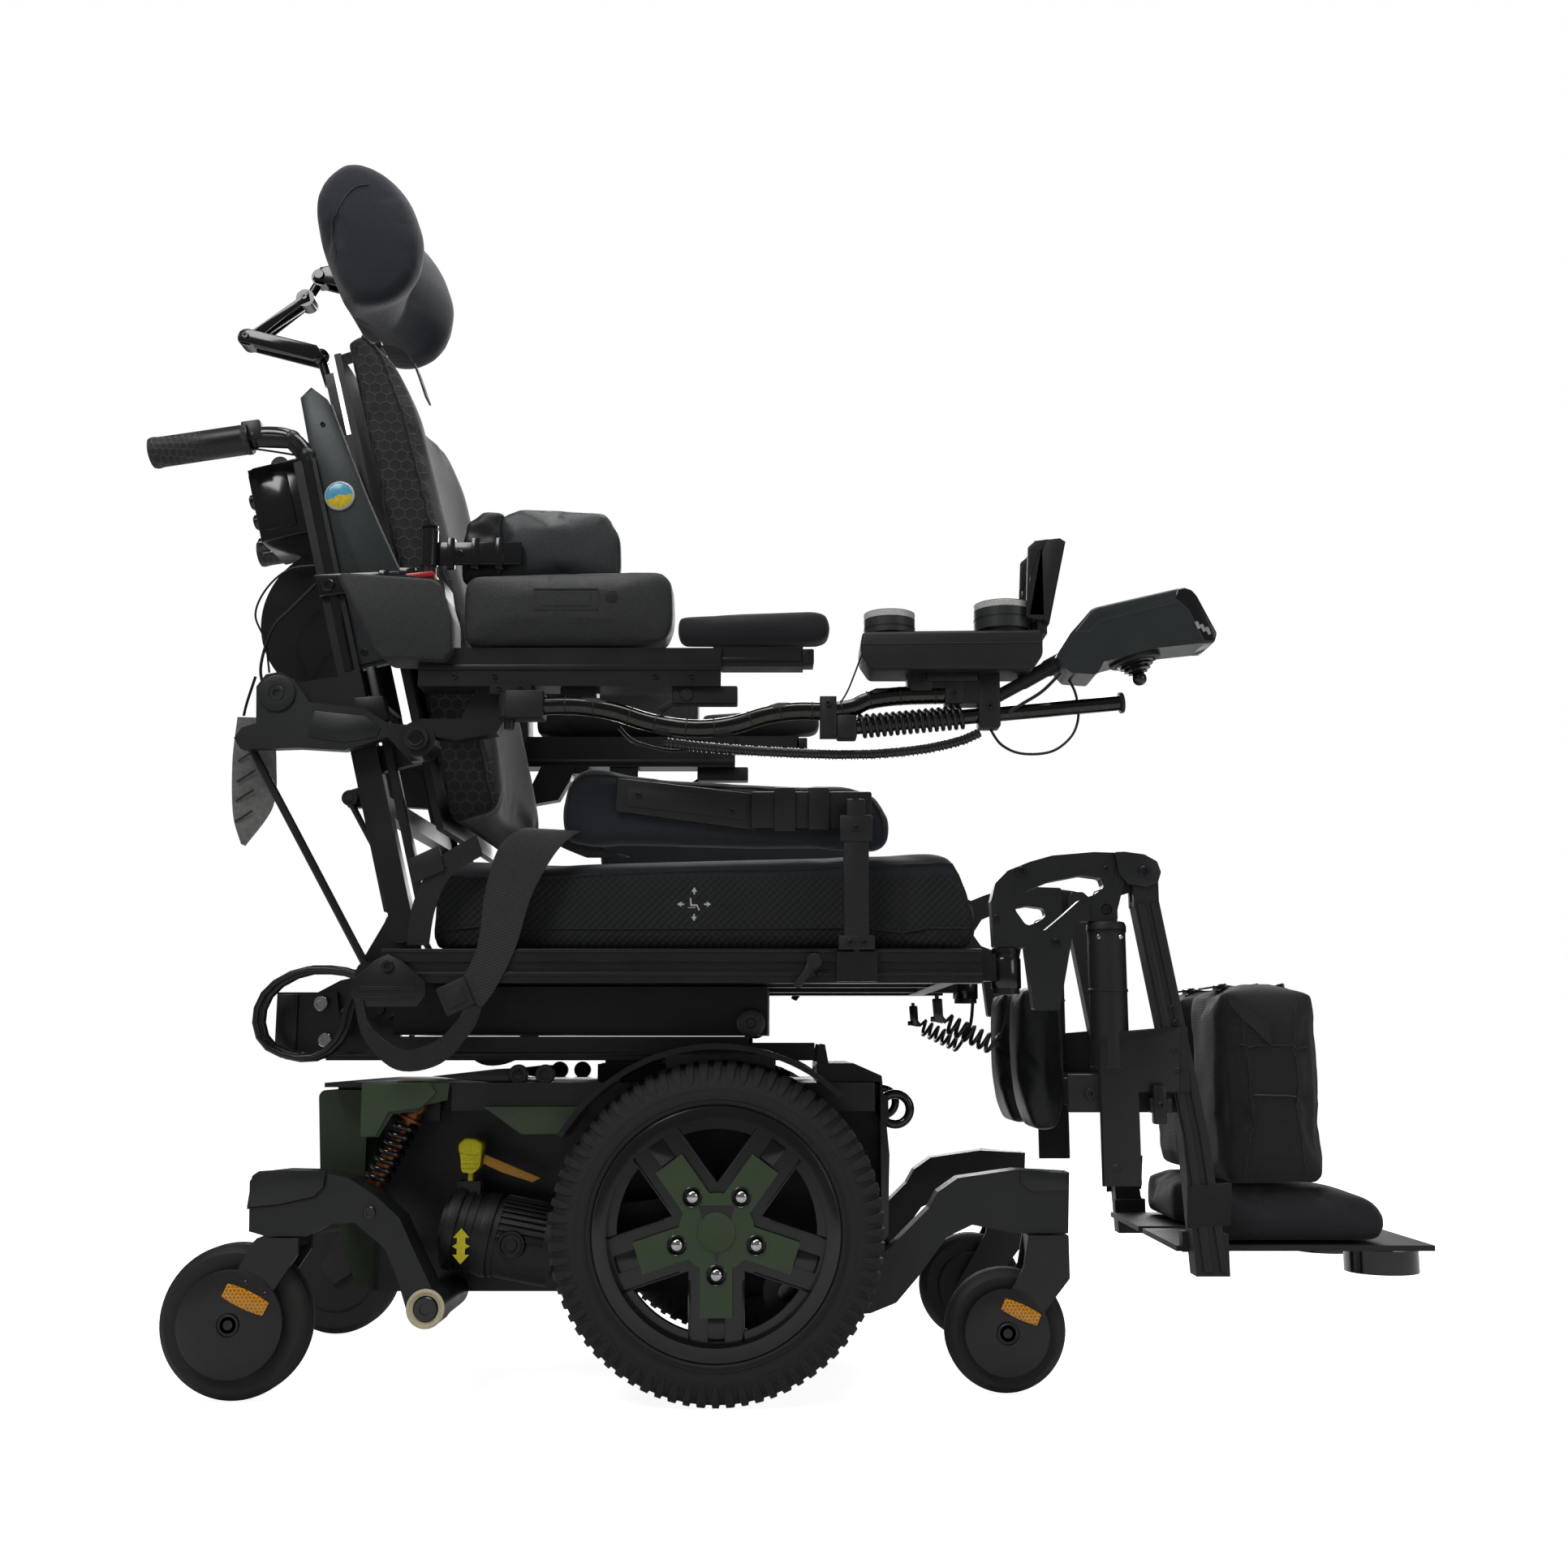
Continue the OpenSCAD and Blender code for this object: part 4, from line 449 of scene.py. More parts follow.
def makeRimTrim(sideName, sign):
    d = driveWheel
    centre = at(0, sign * d["y"], d["z"])
    paintPart("drive_rim_" + sideName, armyGreen, lambda x, y, z, n: abs(y) > d["y"] + 18.02 and abs(y) < d["y"] + 27.2 and
              13 < math.hypot(x, z - d["z"]) < 90 and not any(math.hypot(x - 44 * math.cos(math.radians(a)), z - d["z"] - 44 * math.sin(math.radians(a))) < 10.3 for a in range(54, 400, 72)))
    outward = Vector((0, sign, 0))
    nuts, cups, edges = [], [], []
    for k in range(5):
        a = math.radians(54 + 72 * k)
        spot = Vector((math.cos(a) * 0.044, 0, math.sin(a) * 0.044))
        place = centre + spot + outward * 0.0181
        nuts.append(turned([(0, 0.2), (7.4, 0.2), (7.4, 6.5), (6.7, 8.6), (5.0, 10.2), (2.6, 11.0), (0, 11.2)], place, outward, 24))
        cups.append(turned([(8.6, 0.1), (10.3, 0.1), (10.9, 9.6), (10.3, 10.0), (9.6, 9.4), (8.6, 0.1)], place, outward, 28))
        b = math.radians(54 + 72 * k)
        run = Vector((math.cos(b), 0, math.sin(b)))
        across = Vector((-math.sin(b), 0, math.cos(b)))
        # recessed strip at the end of each arm, with a shiny lip
        bar = block(-62 + 62 - 9, 9, -1.8, 1.8, -14, 14, 1.2)
        bmesh.ops.translate(bar, vec=-at(0, 0, 0), verts=bar.verts)
        frameTurn = Matrix((across, outward, run)).transposed().to_4x4()
        bmesh.ops.transform(bar, matrix=frameTurn, verts=bar.verts)
        bmesh.ops.translate(bar, vec=centre + run * 0.098 + outward * 0.0192, verts=bar.verts)
        edges.append(bar)
        for s in (-1, 1):
            lip = block(-1.3, 1.3, -1.2, 1.2, -32, 32, 1.0)
            bmesh.ops.translate(lip, vec=-at(0, 0, 0), verts=lip.verts)
            bmesh.ops.transform(lip, matrix=frameTurn, verts=lip.verts)
            bmesh.ops.translate(lip, vec=centre + run * 0.082 + across * s * 0.0283 + outward * 0.0186, verts=lip.verts)
            edges.append(lip)
    finishPiece(gather(nuts), "wheel_nuts_" + sideName, brightSteel, "drive_wheel_" + sideName, 30, recalc=False)
    finishPiece(gather(cups), "nut_cups_" + sideName, rimGloss, "drive_wheel_" + sideName, 40, recalc=False)
    edges.append(turned([(118, 0), (126, 0.4), (129.3, 1.8), (130.2, 3.4), (129.2, 4.2), (118, 4.2), (118, 0)], centre + outward * 0.0316, outward, 96))
    edges.append(turned([(0, 0), (16, 0), (19, 0.8), (20, 1.3), (19.6, 1.6), (17, 1.2), (0, 1.0)], centre + outward * 0.0271, outward, 48))
    trim = finishPiece(gather(edges), "rim_edges_" + sideName, rimGloss, "drive_wheel_" + sideName, 40, recalc=False)
    trim.data.materials.append(armyGreen)
    for face in trim.data.polygons:
        c = face.center - centre
        if math.hypot(c.x, c.z) < 0.021:
            face.material_index = 1


bothSides(makeRimTrim)
print("drive wheels done")

# ---- casters ----
casters = [{"name": "rear", "x": -515, "y": 200, "r": 81, "w": 40}, {"name": "front", "x": 312, "y": 164, "r": 66, "w": 34}]


def makeCaster(sideName, sign):
    for c in casters:
        fork, roller = "caster_" + c["name"] + "_" + sideName, "caster_roller_" + c["name"] + "_" + sideName
        outward = Vector((0, sign, 0))
        # moulded tyre with two grooves
        r, w = c["r"], c["w"] / 2
        half = [(7.2, w), (r * 0.62, w), (r * 0.66, w - 3), (r - 9, w - 1), (r - 4, w - 4), (r - 1.6, w - 8), (r - 3.4, w - 9.2), (r - 1.0, w - 10.4),
                (r, w - 13), (r, w - 15.5), (r - 1.8, w - 16.2)]
        profile = half + [(x, -y) for x, y in reversed(half)]
        profile.append(profile[0])
        tyre = finishPiece(turned(profile, at(c["x"], sign * c["y"], r), (0, 1, 0), 72), "caster_tyre_" + c["name"] + "_" + sideName, casterRubber, roller, 35)
        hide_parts("caster_wheel_" + c["name"] + "_" + sideName)
        # the disc face: dished cover, hub recess, reflector and two screws
        faceY = c["y"] + c["w"] / 2 + 2 + 6
        face = at(c["x"], sign * faceY, r)
        big = r * 0.69
        cover = turned([(big - 0.4, -2.0), (big + 0.6, -1.2), (big + 0.2, 0.2), (big - 2.2, 1.1), (big * 0.6, 1.9), (16, 2.2), (12.5, 2.0), (12.2, -0.2), (11.2, -0.2)], face, outward, 72)
        hub = turned([(0, 1.6), (4.6, 1.6), (5.0, 3.0), (8.6, 3.0), (9.6, 3.4), (10.6, 2.6), (10.9, 0.0)], face, outward, 32)
        finishPiece(gather([cover, hub]), "caster_cover_" + c["name"] + "_" + sideName, casterDisc, fork, 35)
        screws = []
        for dx, dz in ((7, 26), (23, 19)) if c["name"] == "front" else ((15, 47), (36, 34)):
            screws.append(screw(face + Vector((dx / 1000, sign * 0.0012, dz * (0.9 if c["name"] == "rear" else 1.0) / 1000)), outward, 3.4, 1.6))
        finishPiece(gather(screws), "caster_screws_" + c["name"] + "_" + sideName, glossBlack, fork, 30, recalc=False)
        # reflector: slab with bowed long sides, turned nose-down
        scale = 1.0 if c["name"] == "rear" else 0.86
        rim = []
        for k in range(9):
            t = -1 + k / 4
            rim.append((t * 24.5 * scale, (9.5 - 2.2 * t * t) * scale))
        outlinePoints = rim + [(x, -z) for x, z in reversed(rim)]
        lean = math.radians(-24)
        midX, midZ = c["x"] + 17 * scale, r + 26 * scale
        pts = [(midX + x * math.cos(lean) - z * math.sin(lean), midZ + x * math.sin(lean) + z * math.cos(lean)) for x, z in outlinePoints]
        reflector = cut(pts, sign * (faceY + 1.0), sign * (faceY + 4.4), 1.0)
        finishPiece(reflector, "reflector_" + c["name"] + "_" + sideName, amberGlass, fork, 40)


bothSides(makeCaster)


# ---- swing arms, springs and the powered base ----
def makeArms(sideName, sign):
    outward = Vector((0, sign, 0))
    rear, front = "rear_swing_" + sideName, "front_swing_" + sideName
    # cap over the rear stem with its seam, then the bolt and the cream ring on the pivot
    cap = cut([(-503, 201), (-499, 234), (-492, 239), (-470, 240.5), (-420, 239), (-422, 222), (-432, 212), (-470, 204)], sign * 225.2, sign * 227.4, 0.9)
    seam = wire("arm_seam_rear_" + sideName, [at(x, sign * 225.0, z) for x, z in ((-503, 200), (-470, 203), (-431, 211), (-421, 222), (-419, 240))], 0.9, caseDark, rear, "arm_casting")
    finishPiece(cap, "arm_cap_rear_" + sideName, castBlack, rear, 40)
    ring = turned([(13.5, 0.4), (20.2, 0.4), (20.6, 2.0), (19.8, 3.0), (17.6, 3.2), (16.6, 2.2), (13.5, 1.2)], at(-308, sign * 226.2, 97), outward, 48)
    finishPiece(ring, "pivot_ring_" + sideName, creamRing, rear, 40)
    bolts = [screw(at(-308, sign * 226.4, 97), outward, 12.5, 3.6, 32), screw(at(-372, sign * 224.6, 196), outward, 6.5, 3.2), screw(at(-428, sign * 225, 229), outward, 2.6, 1.6)]
    finishPiece(gather(bolts), "arm_bolts_rear_" + sideName, glossBlack, rear, 30, recalc=False)
    frontCap = cut([(330, 237.6), (382.6, 233.4), (382.6, 215), (344, 213), (331, 222)], sign * 180.2, sign * 182.2, 0.8)
    finishPiece(frontCap, "arm_cap_front_" + sideName, castBlack, front, 40)
    finishPiece(gather([screw(at(75, sign * 180.4, 108), outward, 11, 4, 28), screw(at(333, sign * 180.4, 227), outward, 2.6, 1.4)]), "arm_bolts_front_" + sideName, glossBlack, front, 30, recalc=False)
    # coil spring over a coppery body, standing between the base and the arm
    low, high = at(-392, sign * 160, 205), at(-340, sign * 160, 306)
    up = (high - low).normalized()
    across = Vector((0, 1, 0))
    out = up.cross(across)
    body = gather([turned([(0, 6), (9, 6), (9.4, 10), (9.4, 58), (8, 62), (6.2, 64), (6.2, 96), (10, 97), (11.4, 101), (10, 106), (0, 106)], low, up, 28),
                   turned([(8, 15), (15.6, 15), (15.6, 18), (8, 18), (8, 15)], low, up, 32), turned([(6, 96), (15.6, 96), (15.6, 99), (6, 99), (6, 96)], low, up, 32),
                   turned([(0, -9), (10.8, -9), (11.4, -7), (11.4, 7), (10.8, 9), (0, 9)], low, across, 28),
                   turned([(0, -9), (10.8, -9), (11.4, -7), (11.4, 7), (10.8, 9), (0, 9)], high, across, 28)])
    damper = finishPiece(body, "damper_body_" + sideName, copperBody, None, 35, recalc=False)
    helix = []
    turns, perTurn = 7.25, 20
    for k in range(int(turns * perTurn) + 1):
        angle = 2 * math.pi * k / perTurn
        helix.append(low + up * (0.0205 + 0.0735 * k / (turns * perTurn)) + (across * math.cos(angle) + out * math.sin(angle)) * 0.0123)
    spring = wire("spring_coil_" + sideName, helix, 3.1, glossBlack, "chassis", "spring_steel", 3)
    bpy.context.view_layer.update()
    springMesh = bpy.data.meshes.new_from_object(spring.evaluated_get(bpy.context.evaluated_depsgraph_get()))
    bpy.data.objects.remove(spring)
    coil = bpy.data.objects.new("spring_coil_" + sideName, springMesh)
    scene.collection.objects.link(coil)
    for piece in (damper, coil):
        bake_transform(piece)
    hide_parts("rear_shock_" + sideName)
    # green bracket over the spring, its brass disc, green wedge, amber strip
    outerY = sign * 181.2
    bracket = cut([(-397, 331.5), (-322, 331.5), (-314, 320), (-330, 304), (-352, 301), (-366, 299), (-374, 284), (-379, 273), (-396, 272)], sign * 179, sign * 183.2, 1.0)
    wedge = cut([(-262, 305), (-150, 305), (-172, 275), (-219, 275)], sign * 178.5, sign * 181.4, 0.8)
    finishPiece(gather([bracket, wedge]), "green_panels_" + sideName, armyGreen, "chassis", 40)
    badge = turned([(0, 1.6), (10, 1.8), (15, 1.3), (17, 0)], at(-345, sign * 166, 331.6), (0, 0, 1), 40)
    finishPiece(badge, "brass_disc_" + sideName, brassDull, "chassis", 40)
    strip = cut([(-266, 251), (-202, 225), (-211, 220), (-246, 231), (-268, 241)], sign * 139.5, sign * 142.5, 0.7)
    finishPiece(strip, "amber_strip_" + sideName, amberPaint, "chassis", 40)
    # small links over the deck and the yellow-brass knob below
    link = cut([(-322, 338), (-250, 346), (-226, 347), (-214, 340), (-222, 331), (-256, 331)], sign * 163, sign * 170, 1.8)
    eyes = [turned([(0, 0), (10, 0), (11, 1), (11, 7), (10, 8), (6, 8), (5.6, 5), (0, 5)], at(x, sign * 164, 340), outward, 28) for x in (-226, -196)]
    finishPiece(gather([link, *eyes]), "deck_link_" + sideName, blackPaint, "chassis", 35)
    knob = turned([(0, 0), (5, 0), (5.6, 1), (5.6, 6), (7.4, 7), (7.6, 14), (6, 15.5), (0, 15.5)], at(-361, sign * 140, 137), (1, 0, 0), 12)
    finishPiece(knob, "drain_knob_" + sideName, labelYellow, "chassis", 40)
    knobFoot = block(-362, -352, sign * 134, sign * 146, 128, 146, 1)
    knobArm = block(-358, -352, sign * 90, sign * 136, 133, 141, 1)
    finishPiece(gather([knobFoot, knobArm]), "knob_foot_" + sideName, blackPaint, "chassis", 40)


bothSides(makeArms)


def makeMotorDetail(sideName, sign):
    outward = Vector((0, sign, 0))
    axis = at(-180, 0, 148) - at(-303, 0, 172)
    axis.normalize()
    start = at(-303, sign * 138, 172)
    down = Vector((axis.z, 0, -axis.x))
    # end cap ribs, raised cover lip, side plug and cooling fins along the top of the case
    parts = [turned([(44.2, 2), (46.4, 2.4), (46.8, 8), (46.4, 13), (44.2, 13.4), (44.2, 2)], start, axis, 56),
             turned([(44.2, 40), (46.0, 40.5), (46.6, 46), (46.0, 52), (44.2, 52.5), (44.2, 40)], start, axis, 56)]
    for k in range(11):
        angle = math.radians(8 + 9.5 * k)
        ring = (outward * math.cos(angle) - down * math.sin(angle))
        if ring.z < 0:
            ring = (outward * math.cos(angle) + down * math.sin(angle))
        fin = block(-26, 26, -0.9, 0.9, -2.2, 2.2, 0.7)
        bmesh.ops.translate(fin, vec=-at(0, 0, 0), verts=fin.verts)
        side3 = axis.cross(ring)
        bmesh.ops.transform(fin, matrix=Matrix((axis, side3, ring)).transposed().to_4x4(), verts=fin.verts)
        bmesh.ops.translate(fin, vec=start + axis * 0.084 + ring * 0.0445, verts=fin.verts)
        parts.append(fin)
    plugPlace = start + axis * 0.078 + outward * 0.043
    parts.append(turned([(0, 4.5), (6, 4.5), (7, 3.0), (11, 3.4), (12.5, 5.4), (14.5, 5.6), (15.5, 4.0), (15.8, -2)], plugPlace, outward, 36))
    parts.append(block(-291, -270, sign * 127, sign * 149, 196, 216, 1.5))
    finishPiece(gather(parts), "motor_fins_" + sideName, motorBlack, "chassis", 35, recalc=False)
    # double arrow label
    cx, cz, lean = -281, 178, 0
    arrow = [(0, 19), (9, 9), (4.5, 9), (4.5, 3), (9.5, 0), (4.5, -3), (4.5, -9), (9, -9), (0, -19), (-9, -9), (-4.5, -9), (-4.5, -3), (-9.5, 0), (-4.5, 3), (-4.5, 9), (-9, 9)]
    label = cut([(cx + x, cz - 22 + z) for x, z in arrow], sign * 184.0, sign * 184.9, 0.0)
    finishPiece(label, "arrow_label_" + sideName, labelYellow, "chassis", 40)
    # ridges on the freewheel lever
    ridges = [block(-291 + 0.8 * k, -272 + 0.8 * k, sign * 147.4, sign * 149.4, 236 + 5.2 * k, 238.4 + 5.2 * k, 0.8) for k in range(4)]
    cap = cut([(-294, 252), (-295, 262), (-288, 269), (-276, 268.5), (-267, 263), (-268, 252), (-277, 249)], sign * 126.4, sign * 149.8, 3.0, 3)
    finishPiece(gather([*ridges, cap]), "lever_cap_" + sideName, leverYellow, "freewheel_" + sideName, 50)


bothSides(makeMotorDetail)
print("base dressed")

scene.world = bpy.data.worlds.new("paleStudio")


# ---- soft goods ----
def bake(piece):
    bpy.context.view_layer.update()
    mesh = bpy.data.meshes.new_from_object(piece.evaluated_get(bpy.context.evaluated_depsgraph_get()))
    old = piece.data
    piece.modifiers.clear()
    piece.data = mesh
    bpy.data.meshes.remove(old)


# the soft shape: an evenly remeshed block, blown up a little by cloth pressure and held where it rests
def soften(bm, name, material, voxel, cap, pressure=4.0, held=None, frames=20, smoothing=2, wrinkle=0.0, wrinkleSize=0.05, shape=None):
    piece = finishPiece(bm, name, material, None)
    piece.modifiers.new("voxels", "REMESH").voxel_size = voxel
    bake(piece)
    work = bmesh.new()
    work.from_mesh(piece.data)
    for i in range(smoothing):
        bmesh.ops.smooth_vert(work, verts=work.verts, factor=0.5, use_axis_x=True, use_axis_y=True, use_axis_z=True)
    if shape:
        for v in work.verts:
            v.co = shape(v.co)
    work.to_mesh(piece.data)
    work.free()
    rest = [v.co.copy() for v in piece.data.vertices]
    cloth = piece.modifiers.new("cloth", "CLOTH")
    s = cloth.settings
    s.quality = 4
    s.mass = 0.3
    s.tension_stiffness = s.compression_stiffness = 12
    s.shear_stiffness = 5
    s.bending_stiffness = 0.4
    s.use_pressure = True
    s.uniform_pressure_force = pressure
    s.effector_weights.gravity = 0
    cloth.collision_settings.use_collision = False
    if held:
        group = piece.vertex_groups.new(name="held")
        group.add([i for i, co in enumerate(rest) if held(co)], 1.0, "REPLACE")
        s.vertex_group_mass = "held"
    cloth.point_cache.frame_start, cloth.point_cache.frame_end = 1, frames
    for f in range(1, frames + 1):
        scene.frame_set(f)
    blown = piece.evaluated_get(bpy.context.evaluated_depsgraph_get())
    moved = [v.co.copy() for v in blown.data.vertices]
    scene.frame_set(1)
    piece.modifiers.clear()
    piece.vertex_groups.clear()
    for v, a, b in zip(piece.data.vertices, rest, moved):
        step = b - a
        if step.length > cap:
            step *= cap / step.length
        v.co = a + step
    if wrinkle:
        from mathutils import noise
        normals = [v.normal.copy() for v in piece.data.vertices]
        for v, n in zip(piece.data.vertices, normals):
            v.co += n * wrinkle * noise.noise(v.co / wrinkleSize)
    for face in piece.data.polygons:
        face.use_smooth = True
    return piece


def settle(piece, body, slotName, fill, *replaced):
    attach(piece, body)
    if replaced:
        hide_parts(*replaced)
    return piece


# points pulled onto a piece's surface and lifted a little, for piping and seams
def hug(piece, route, lift=0.0):
    found = []
    for p in route:
        ok, place, normal, index = piece.closest_point_on_mesh(p)
        found.append(place + normal * lift / 1000)
    return found


# strap or sheet between two edge routes, made from a grid
def ribbon(name, edgeA, edgeB, thickness, material, body, per=6, widthCuts=4, crown=0.0):
    a, b = smoothRoute(edgeA, per), smoothRoute(edgeB, per)
    rows = len(a) - 1
    bm = bmesh.new()
    bmesh.ops.create_grid(bm, x_segments=widthCuts, y_segments=rows, size=0.5)
    for v in bm.verts:
        u, t = v.co.x + 0.5, (v.co.y + 0.5) * rows
        i = min(int(t + 1e-4), rows - 1)
        f = t - i
        p, q = a[i].lerp(a[i + 1], f), b[i].lerp(b[i + 1], f)
        v.co = p.lerp(q, u)
    bmesh.ops.recalc_face_normals(bm, faces=bm.faces)
    piece = finishPiece(bm, name, material, None, 60, recalc=False)
    solid = piece.modifiers.new("thick", "SOLIDIFY")
    solid.thickness = thickness / 1000
    solid.offset = 0
    bake(piece)
    for face in piece.data.polygons:
        face.use_smooth = True
    piece.data.set_sharp_from_angle(angle=math.radians(50))
    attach(piece, body)
    return piece


seat = {"voxel": 0.0075, "cap": 0.007, "pipingZ": 575}


def makeSeatCushion():
    outlinePoints = [(-324, 478), (289, 478), (289, 515), (266, 581), (60, 576), (-210, 569), (-318, 572), (-324, 550)]
    cushion = soften(cut(outlinePoints, -214, 214, 13, 3), "seat_cushion_cover", [cushionSide, cushionTop, cushionSide], seat["voxel"], seat["cap"], 4.0,
                     held=lambda p: p.z < 0.4795)
    for face in cushion.data.polygons:
        face.material_index = 1 if face.center.z > 0.560 or (face.normal.z > 0.62 and face.center.z > 0.53) else 0
    piping = []
    for sign in (-1, 1):
        top = [at(x, sign * 216, z) for x, z in ((-322, 560), (-200, 562), (60, 570), (262, 574), (284, 530), (290, 490))]
        base = [at(x, sign * 226, 500) for x in range(-320, 291, 25)]
        front = [at(205, sign * 222, z) for z in range(480, 571, 10)]
        for label, route, radius in (("top", smoothRoute(top, 8), 1.6), ("base", base, 1.1), ("front", front, 1.0)):
            piping.append(wire("seat_piping_%s_%s" % (label, "right" if sign < 0 else "left"), hug(cushion, route, 0.3), radius, webbingDark, "seat", "seat_fabric"))
    across = smoothRoute([at(288, y, 534) for y in range(-212, 213, 40)], 3)
    piping.append(wire("seat_piping_nose", hug(cushion, across, 0.3), 1.4, webbingDark, "seat", "seat_fabric"))
    cushion.modifiers.new("smooth", "SUBSURF").levels = 1
    cushion.modifiers["smooth"].render_levels = 1
    settle(cushion, "seat", "seat_fabric", 0.75, "seat_cushion")
    # plain pictogram on the side: a sitting figure and four arrows
    label = []
    cx, cz = -29, 527
    surface = 0.0
    for sign in (-1, 1):
        parts = []
        for dx, dz in ((0, 1), (0, -1), (1, 0), (-1, 0)):
            tip, foot = 19, 11
            side2 = (dz, dx)
            parts.append(cut([(cx + dx * tip, cz + dz * tip), (cx + dx * 14 + side2[0] * 3, cz + dz * 14 + side2[1] * 3), (cx + dx * 14 - side2[0] * 3, cz + dz * 14 - side2[1] * 3)], 0, 1))
            parts.append(cut([(cx + dx * 14.5 + side2[0] * 0.9, cz + dz * 14.5 + side2[1] * 0.9), (cx + dx * foot + side2[0] * 0.9, cz + dz * foot + side2[1] * 0.9),
                              (cx + dx * foot - side2[0] * 0.9, cz + dz * foot - side2[1] * 0.9), (cx + dx * 14.5 - side2[0] * 0.9, cz + dz * 14.5 - side2[1] * 0.9)], 0, 1))
        for pts in ([(-5, 7), (-3.4, 7), (-2.4, -2), (-4.2, -2)], [(-4.2, -2), (-4.2, -0.2), (3.6, -0.2), (3.6, -2)], [(2.2, -0.6), (3.8, -0.6), (6.6, -7), (5.0, -7)], [(-7, -3.4), (1.5, -3.4), (1.5, -4.2), (-7, -4.2)]):
            parts.append(cut([(cx + x, cz + z) for x, z in pts], 0, 1))
        whole = gather(parts)
        bmesh.ops.remove_doubles(whole, verts=whole.verts, dist=1e-7)
        for v in whole.verts:
            ok, place, normal, index = cushion.closest_point_on_mesh(Vector((v.co.x, sign * 0.24, v.co.z)))
            v.co.y = place.y + sign * (0.0006 if abs(v.co.y) > 0.0005 else 0.0)
        finishPiece(whole, "side_pictogram_" + ("right" if sign < 0 else "left"), whitePrint, "seat", 40)
    print("seat cushion done")


makeSeatCushion()

backTurn = Matrix.Translation(at(-355, 0, 503)) @ Matrix.Rotation(math.radians(-14), 4, "Y")


# place on the leaning back: w forward of the hinge line, s up the back
def onBack(w, y, s):
    return backTurn @ Vector((w / 1000, y / 1000, s / 1000))


backInverse = backTurn.inverted()


def backPlace(p):
    q = backInverse @ p
    return q.x * 1000, q.z * 1000


def backCut(points, yA, yB, rounding=0.0, segments=2):
    bm = cut(points, yA, yB, rounding, segments)
    bmesh.ops.translate(bm, vec=-at(0, 0, 0), verts=bm.verts)
    bmesh.ops.transform(bm, matrix=backTurn, verts=bm.verts)
    return bm


def makeBackCushion():
    pts = [(71, 102), (126, 104), (131, 200), (134, 330), (128, 480), (126, 610), (112, 690), (92, 727), (72, 722)]

    def contour(co):
        q = backInverse @ co
        # the middle of the back sinks between the side bolsters
        sink = max(0.0, 1 - (abs(q.y) / 0.120) ** 2) * 0.016 * max(0.0, min(1.0, (q.x - 0.085) / 0.03))
        return backTurn @ Vector((q.x - sink, q.y, q.z))

    cushion = soften(backCut(pts, -172, 172, 16, 4), "back_cushion_cover", [hexMesh, backFabric], 0.0075, 0.008, 4.0,
                     held=lambda p: backPlace(p)[0] < 73.5, shape=contour)
    for face in cushion.data.polygons:
        w, s = backPlace(face.center)
        face.material_index = 0 if abs(face.normal.y) > 0.45 and w < 129 else 1
    for sign in (-1, 1):
        edge = smoothRoute([onBack(w, sign * 176, s) for w, s in ((128, 106), (134, 200), (137, 330), (131, 480), (127, 610), (113, 692), (92, 732))], 10)
        wire("back_piping_" + ("right" if sign < 0 else "left"), hug(cushion, edge, 0.3), 1.7, webbingDark, "back", "back_fabric")
        rear = smoothRoute([onBack(76, sign * 180, s) for s in range(106, 730, 60)], 4)
        wire("back_seam_" + ("right" if sign < 0 else "left"), hug(cushion, rear, 0.2), 1.0, webbingDark, "back", "back_fabric")
    cushion.modifiers.new("smooth", "SUBSURF").levels = 1
    cushion.modifiers["smooth"].render_levels = 1
    settle(cushion, "back", "back_fabric", 0.7, "back_cushion")
    print("back cushion done")


makeBackCushion()


def makeHeadrest():
    pts = [(-531, 1432), (-520, 1464), (-493, 1488), (-463, 1485), (-434, 1465), (-407, 1427), (-390, 1378), (-394, 1331), (-412, 1303), (-441, 1290),
           (-471, 1293), (-493, 1322), (-507, 1352), (-524, 1394)]

    def contour(co):
        x, y, z = (co.x + 0.062) * 1000, co.y * 1000, co.z * 1000
        near = min(1.0, abs(y) / 118)
        frontLine = -405 - (z - 1380) * 0.3
        if near < 0.72:
            x -= (1 - near / 0.72) * 44 * max(0.0, min(1.0, (x - frontLine + 75) / 75))
        x += 5 * near * max(0.0, min(1.0, (-470 - x) / 40))
        z += 3 * math.cos(near * 3.14)
        return at(x, y, z)

    pad = soften(cut(pts, -114, 114, 30, 6), "headrest_cushion", [headKnit], 0.006, 0.009, 4.0,
                 held=lambda p: (p.x + 0.062) * 1000 < -500 and 1335 < p.z * 1000 < 1415 and abs(p.y) < 0.03, smoothing=6, shape=contour)
    for sign in (-1, 1):
        crease = smoothRoute([at(x, sign * 140, z) for x, z in ((-512, 1346), (-508, 1378), (-494, 1412), (-473, 1440), (-452, 1446))], 8)
        wire("headrest_seam_" + ("right" if sign < 0 else "left"), hug(pad, crease, 0.1), 1.3, headKnit, "headrest", "headrest_fabric")
    pad.modifiers.new("smooth", "SUBSURF").levels = 1
    pad.modifiers["smooth"].render_levels = 1
    settle(pad, "headrest", "headrest_fabric", 0.8, "headrest_pad")
    plate = block(-506, -501, -26, 26, 1338, 1412, 1.5)
    ears = [cut([(-551, 1369), (-541, 1386), (-506, 1393), (-506, 1357)], s * 9, s * 14, 1.0) for s in (-1, 1)]
    pins = turned([(0, -17), (6, -17), (7, -15), (7, 15), (6, 17), (0, 17)], at(-542, 0, 1375), (0, 1, 0), 24)
    finishPiece(gather([plate, *ears, pins]), "headrest_bracket", glossBlack, "headrest", 35, recalc=False)
    print("headrest done")


makeHeadrest()


